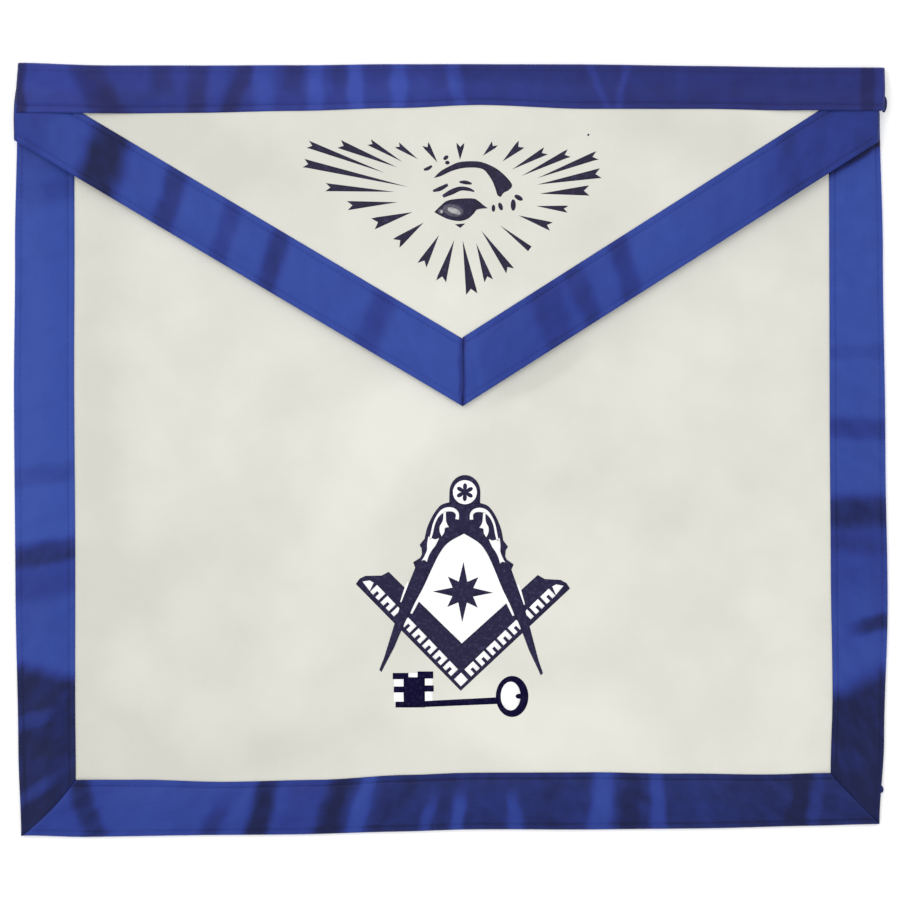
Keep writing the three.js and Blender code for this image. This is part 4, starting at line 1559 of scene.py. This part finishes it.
@remember
def eye_ink_material(colours):
    return print_material("grey ink", colours.eye_ink, colours.worn_ink)


@remember
def key_ink_material(colours):
    return print_material("fresh ink", colours.key_ink, colours.ink)


@remember
def grey_print_material(colours):
    return print_material("grey print", colours.grey_print, colours.eye_ink)


@remember
def pale_print_material(colours):
    return print_material("pale print", colours.pale_print, colours.grey_print)


@remember
def white_print_material(colours):
    return print_material("white print", colours.white_print, colours.white_print)


# Stage

def make_camera():
    width = PHOTO_SIDE * PHOTO_MM_PER_PX * MM
    data = bpy.data.cameras.new("camera")
    data.lens = CAMERA_LENS
    data.sensor_width = SENSOR
    camera = add_object("camera", data)
    camera.location = (0, 0, width * CAMERA_LENS / SENSOR)
    bpy.context.scene.camera = camera


def make_area_light(name, location, side, power):
    data = bpy.data.lights.new(name, "AREA")
    data.shape = "SQUARE"
    data.size = side
    data.energy = power
    light = add_object(name, data)
    light.location = location
    light.rotation_euler = Vector(location).to_track_quat("Z", "Y").to_euler()


def make_floor(colour):
    bm = bmesh.new()
    bmesh.ops.create_grid(bm, x_segments=1, y_segments=1, size=FLOOR_SIDE / 2)
    finish = Finish("pale floor", MATTE, 0)
    finish.inputs["Base Color"].default_value = (*colour, 1)
    finish.inputs["Emission Color"].default_value = (*colour, 1)
    finish.inputs["Emission Strength"].default_value = FLOOR_GLOW
    floor = mesh_object(bm, "floor", finish.material)
    floor.location.z = -FLOOR_DROP


def make_world():
    world = bpy.data.worlds.new("soft room")
    world.use_nodes = True
    background = world.node_tree.nodes["Background"]
    background.inputs["Color"].default_value = (1, 1, 1, 1)
    background.inputs["Strength"].default_value = WORLD_STRENGTH
    bpy.context.scene.world = world


# Add-on

def length_property(name, description, millimetres):
    return bpy.props.FloatProperty(
        name=name,
        description=description,
        default=millimetres * MM,
        min=0,
        precision=5,
        unit="LENGTH",
    )


def colour_property(name, description, default):
    return bpy.props.FloatVectorProperty(
        name=name, description=description, default=default, subtype="COLOR", min=0, max=1
    )


class ApronSizes(bpy.types.PropertyGroup):
    """Sizes of the apron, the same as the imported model's where that has them"""

    width: length_property("Width", "Width of the apron", 406)
    length: length_property("Length", "Height of the apron as it lies", 360)
    ribbon_face: length_property("Ribbon face", "Width of a border ribbon on the face", 27)
    ribbon_turn: length_property("Ribbon turn", "Width of a border ribbon under the back", 11)
    waistband_face: length_property("Waistband face", "Width of the waistband on the face", 21)
    waistband_turn: length_property("Waistband turn", "Width of the waistband on the back", 20)
    flap_length: length_property("Flap length", "Top edge to the flap's tip", 160)
    flap_side: length_property("Flap side", "Top edge to the ends of the flap's slanting edges", 36.5)
    flap_tip_shift: length_property("Flap tip shift", "How far the tip lies off the middle", 6)
    flap_left_inset: length_property("Flap left inset", "Outline to the flap's left end", 0.7)
    flap_right_inset: length_property("Flap right inset", "Outline to the flap's right end", 2.8)
    panel_wall: length_property("Body wall", "Thickness of the body's cloth", 1.2)
    flap_wall: length_property("Flap wall", "Thickness of the flap's cloth", 1.1)
    satin_wall: length_property("Satin wall", "Thickness of the satin ribbon", 0.35)
    stitch_inset: length_property("Stitch inset", "Ribbon's edge to its row of stitches", 2.8)
    stitch_length: length_property("Stitch length", "Length of a stitch", 2.2)
    stitch_gap: length_property("Stitch gap", "Gap between stitches", 0.5)
    thread: length_property("Thread", "Thickness of the thread", 0.3)


class ApronColours(bpy.types.PropertyGroup):
    """Colours of the apron and its stage"""

    # The cloth's two colours are the ends of its painted light and shade, mixed by the tone
    cloth: colour_property("Cloth", "White cloth in its light bands", (0.765, 0.76, 0.695))
    cloth_shaded: colour_property("Cloth, shaded", "White cloth in its dark bands", (0.62, 0.62, 0.56))
    # The satin's and the waistband's colours are painted sheen where lit and painted shade where shaded,
    # mixed by the tone
    satin_lit: colour_property("Satin, lit", "Satin where it shines", (0.034, 0.071, 0.335))
    satin_middle: colour_property("Satin, middle", "Satin between the two", (0.022, 0.04, 0.235))
    satin_dark: colour_property("Satin, dark", "Satin in its dark reaches", (0.0085, 0.012, 0.059))
    waistband_lit: colour_property("Waistband, lit", "Waistband where it shines", (0.038, 0.066, 0.345))
    waistband_middle: colour_property("Waistband, middle", "Waistband between", (0.024, 0.036, 0.213))
    waistband_dark: colour_property("Waistband, dark", "Waistband elsewhere", (0.015, 0.017, 0.095))
    ink: colour_property("Ink", "Ink of the compasses and square", (0.024, 0.022, 0.055))
    eye_ink: colour_property("Eye ink", "Ink of the eye and rays", (0.031, 0.028, 0.052))
    key_ink: colour_property("Key ink", "Ink of the key", (0.0065, 0.0052, 0.031))
    worn_ink: colour_property("Worn ink", "Ink where it has worn", (0.06, 0.055, 0.12))
    grey_print: colour_property("Grey print", "Grey in the eye", (0.12, 0.115, 0.15))
    pale_print: colour_property("Pale print", "Glint in the eye", (0.46, 0.46, 0.47))
    white_print: colour_property("White print", "White printed under the ink", (1, 1, 1))
    floor: colour_property("Floor", "Pale floor", (1, 1, 1))


class MakeBody(bpy.types.Operator):
    """Make the body's white cloth"""

    bl_idname = "apron.make_body"
    bl_label = "Body"

    def execute(self, context):
        make_body(Form(context.scene.apron_sizes))
        return {"FINISHED"}


class MakeFlap(bpy.types.Operator):
    """Make the pointed flap's white cloth"""

    bl_idname = "apron.make_flap"
    bl_label = "Flap"

    def execute(self, context):
        make_flap(Form(context.scene.apron_sizes))
        return {"FINISHED"}


class MakeBorderRibbons(bpy.types.Operator):
    """Make the satin ribbons at the sides and along the bottom, with their stitches"""

    bl_idname = "apron.make_border_ribbons"
    bl_label = "Border ribbons"

    def execute(self, context):
        form = Form(context.scene.apron_sizes)
        for trim in BORDER_TRIMS:
            make_ribbon(form, trim, ["body_cloth"], form.body_seat, form.ground_turn)
        make_tuck(form, CORNER_TUCK)
        return {"FINISHED"}


class MakeFlapRibbons(bpy.types.Operator):
    """Make the satin ribbons on the flap's slanting edges, with their stitches"""

    bl_idname = "apron.make_flap_ribbons"
    bl_label = "Flap ribbons"

    def execute(self, context):
        form = Form(context.scene.apron_sizes)
        for trim in FLAP_TRIMS:
            make_ribbon(form, trim, ["flap_cloth"], form.flap_seat, form.flap_turn)
        return {"FINISHED"}


class MakeWaistband(bpy.types.Operator):
    """Make the folded satin waistband, with its stitches"""

    bl_idname = "apron.make_waistband"
    bl_label = "Waistband"

    def execute(self, context):
        form = Form(context.scene.apron_sizes)
        make_waistband(form)
        make_tuck(form, WAISTBAND_TUCK)
        return {"FINISHED"}


class MakePrints(bpy.types.Operator):
    """Print the figures on the flap and the body"""

    bl_idname = "apron.make_prints"
    bl_label = "Printed figures"

    def execute(self, context):
        form = Form(context.scene.apron_sizes)
        make_eye_print(form)
        make_tools_print(form)
        make_key_print(form)
        return {"FINISHED"}


class MakeStage(bpy.types.Operator):
    """Make the floor, the lights and the camera"""

    bl_idname = "apron.make_stage"
    bl_label = "Stage"

    def execute(self, context):
        context.scene.view_settings.view_transform = "Standard"
        make_world()
        make_floor(context.scene.apron_colours.floor)
        make_camera()
        make_area_light(*KEY_LIGHT)
        make_area_light(*FILL_LIGHT)
        return {"FINISHED"}


class ApronPanel(bpy.types.Panel):
    """Sizes, colours and pieces of the apron"""

    bl_idname = "VIEW3D_PT_apron"
    bl_label = "Apron"
    bl_space_type = "VIEW_3D"
    bl_region_type = "UI"
    bl_category = "Apron"

    def draw(self, context):
        for group in (context.scene.apron_sizes, context.scene.apron_colours):
            column = self.layout.column()
            for name in group.bl_rna.properties.keys():
                if name not in ("rna_type", "name"):
                    column.prop(group, name)
        for operator in OPERATORS:
            self.layout.operator(operator.bl_idname)


OPERATORS = (
    MakeStage,
    MakeBody,
    MakeFlap,
    MakeBorderRibbons,
    MakeFlapRibbons,
    MakeWaistband,
    MakePrints,
)
CLASSES = (ApronSizes, ApronColours, *OPERATORS, ApronPanel)


def register():
    for cls in CLASSES:
        bpy.utils.register_class(cls)
    bpy.types.Scene.apron_sizes = bpy.props.PointerProperty(type=ApronSizes)
    bpy.types.Scene.apron_colours = bpy.props.PointerProperty(type=ApronColours)


def unregister():
    del bpy.types.Scene.apron_sizes
    del bpy.types.Scene.apron_colours
    for cls in reversed(CLASSES):
        bpy.utils.unregister_class(cls)


def main():
    register()
    bpy.ops.apron.make_stage()
    bpy.ops.apron.make_body()
    bpy.ops.apron.make_flap()
    bpy.ops.apron.make_border_ribbons()
    bpy.ops.apron.make_flap_ribbons()
    bpy.ops.apron.make_waistband()
    bpy.ops.apron.make_prints()


if __name__ == "__main__":
    main()
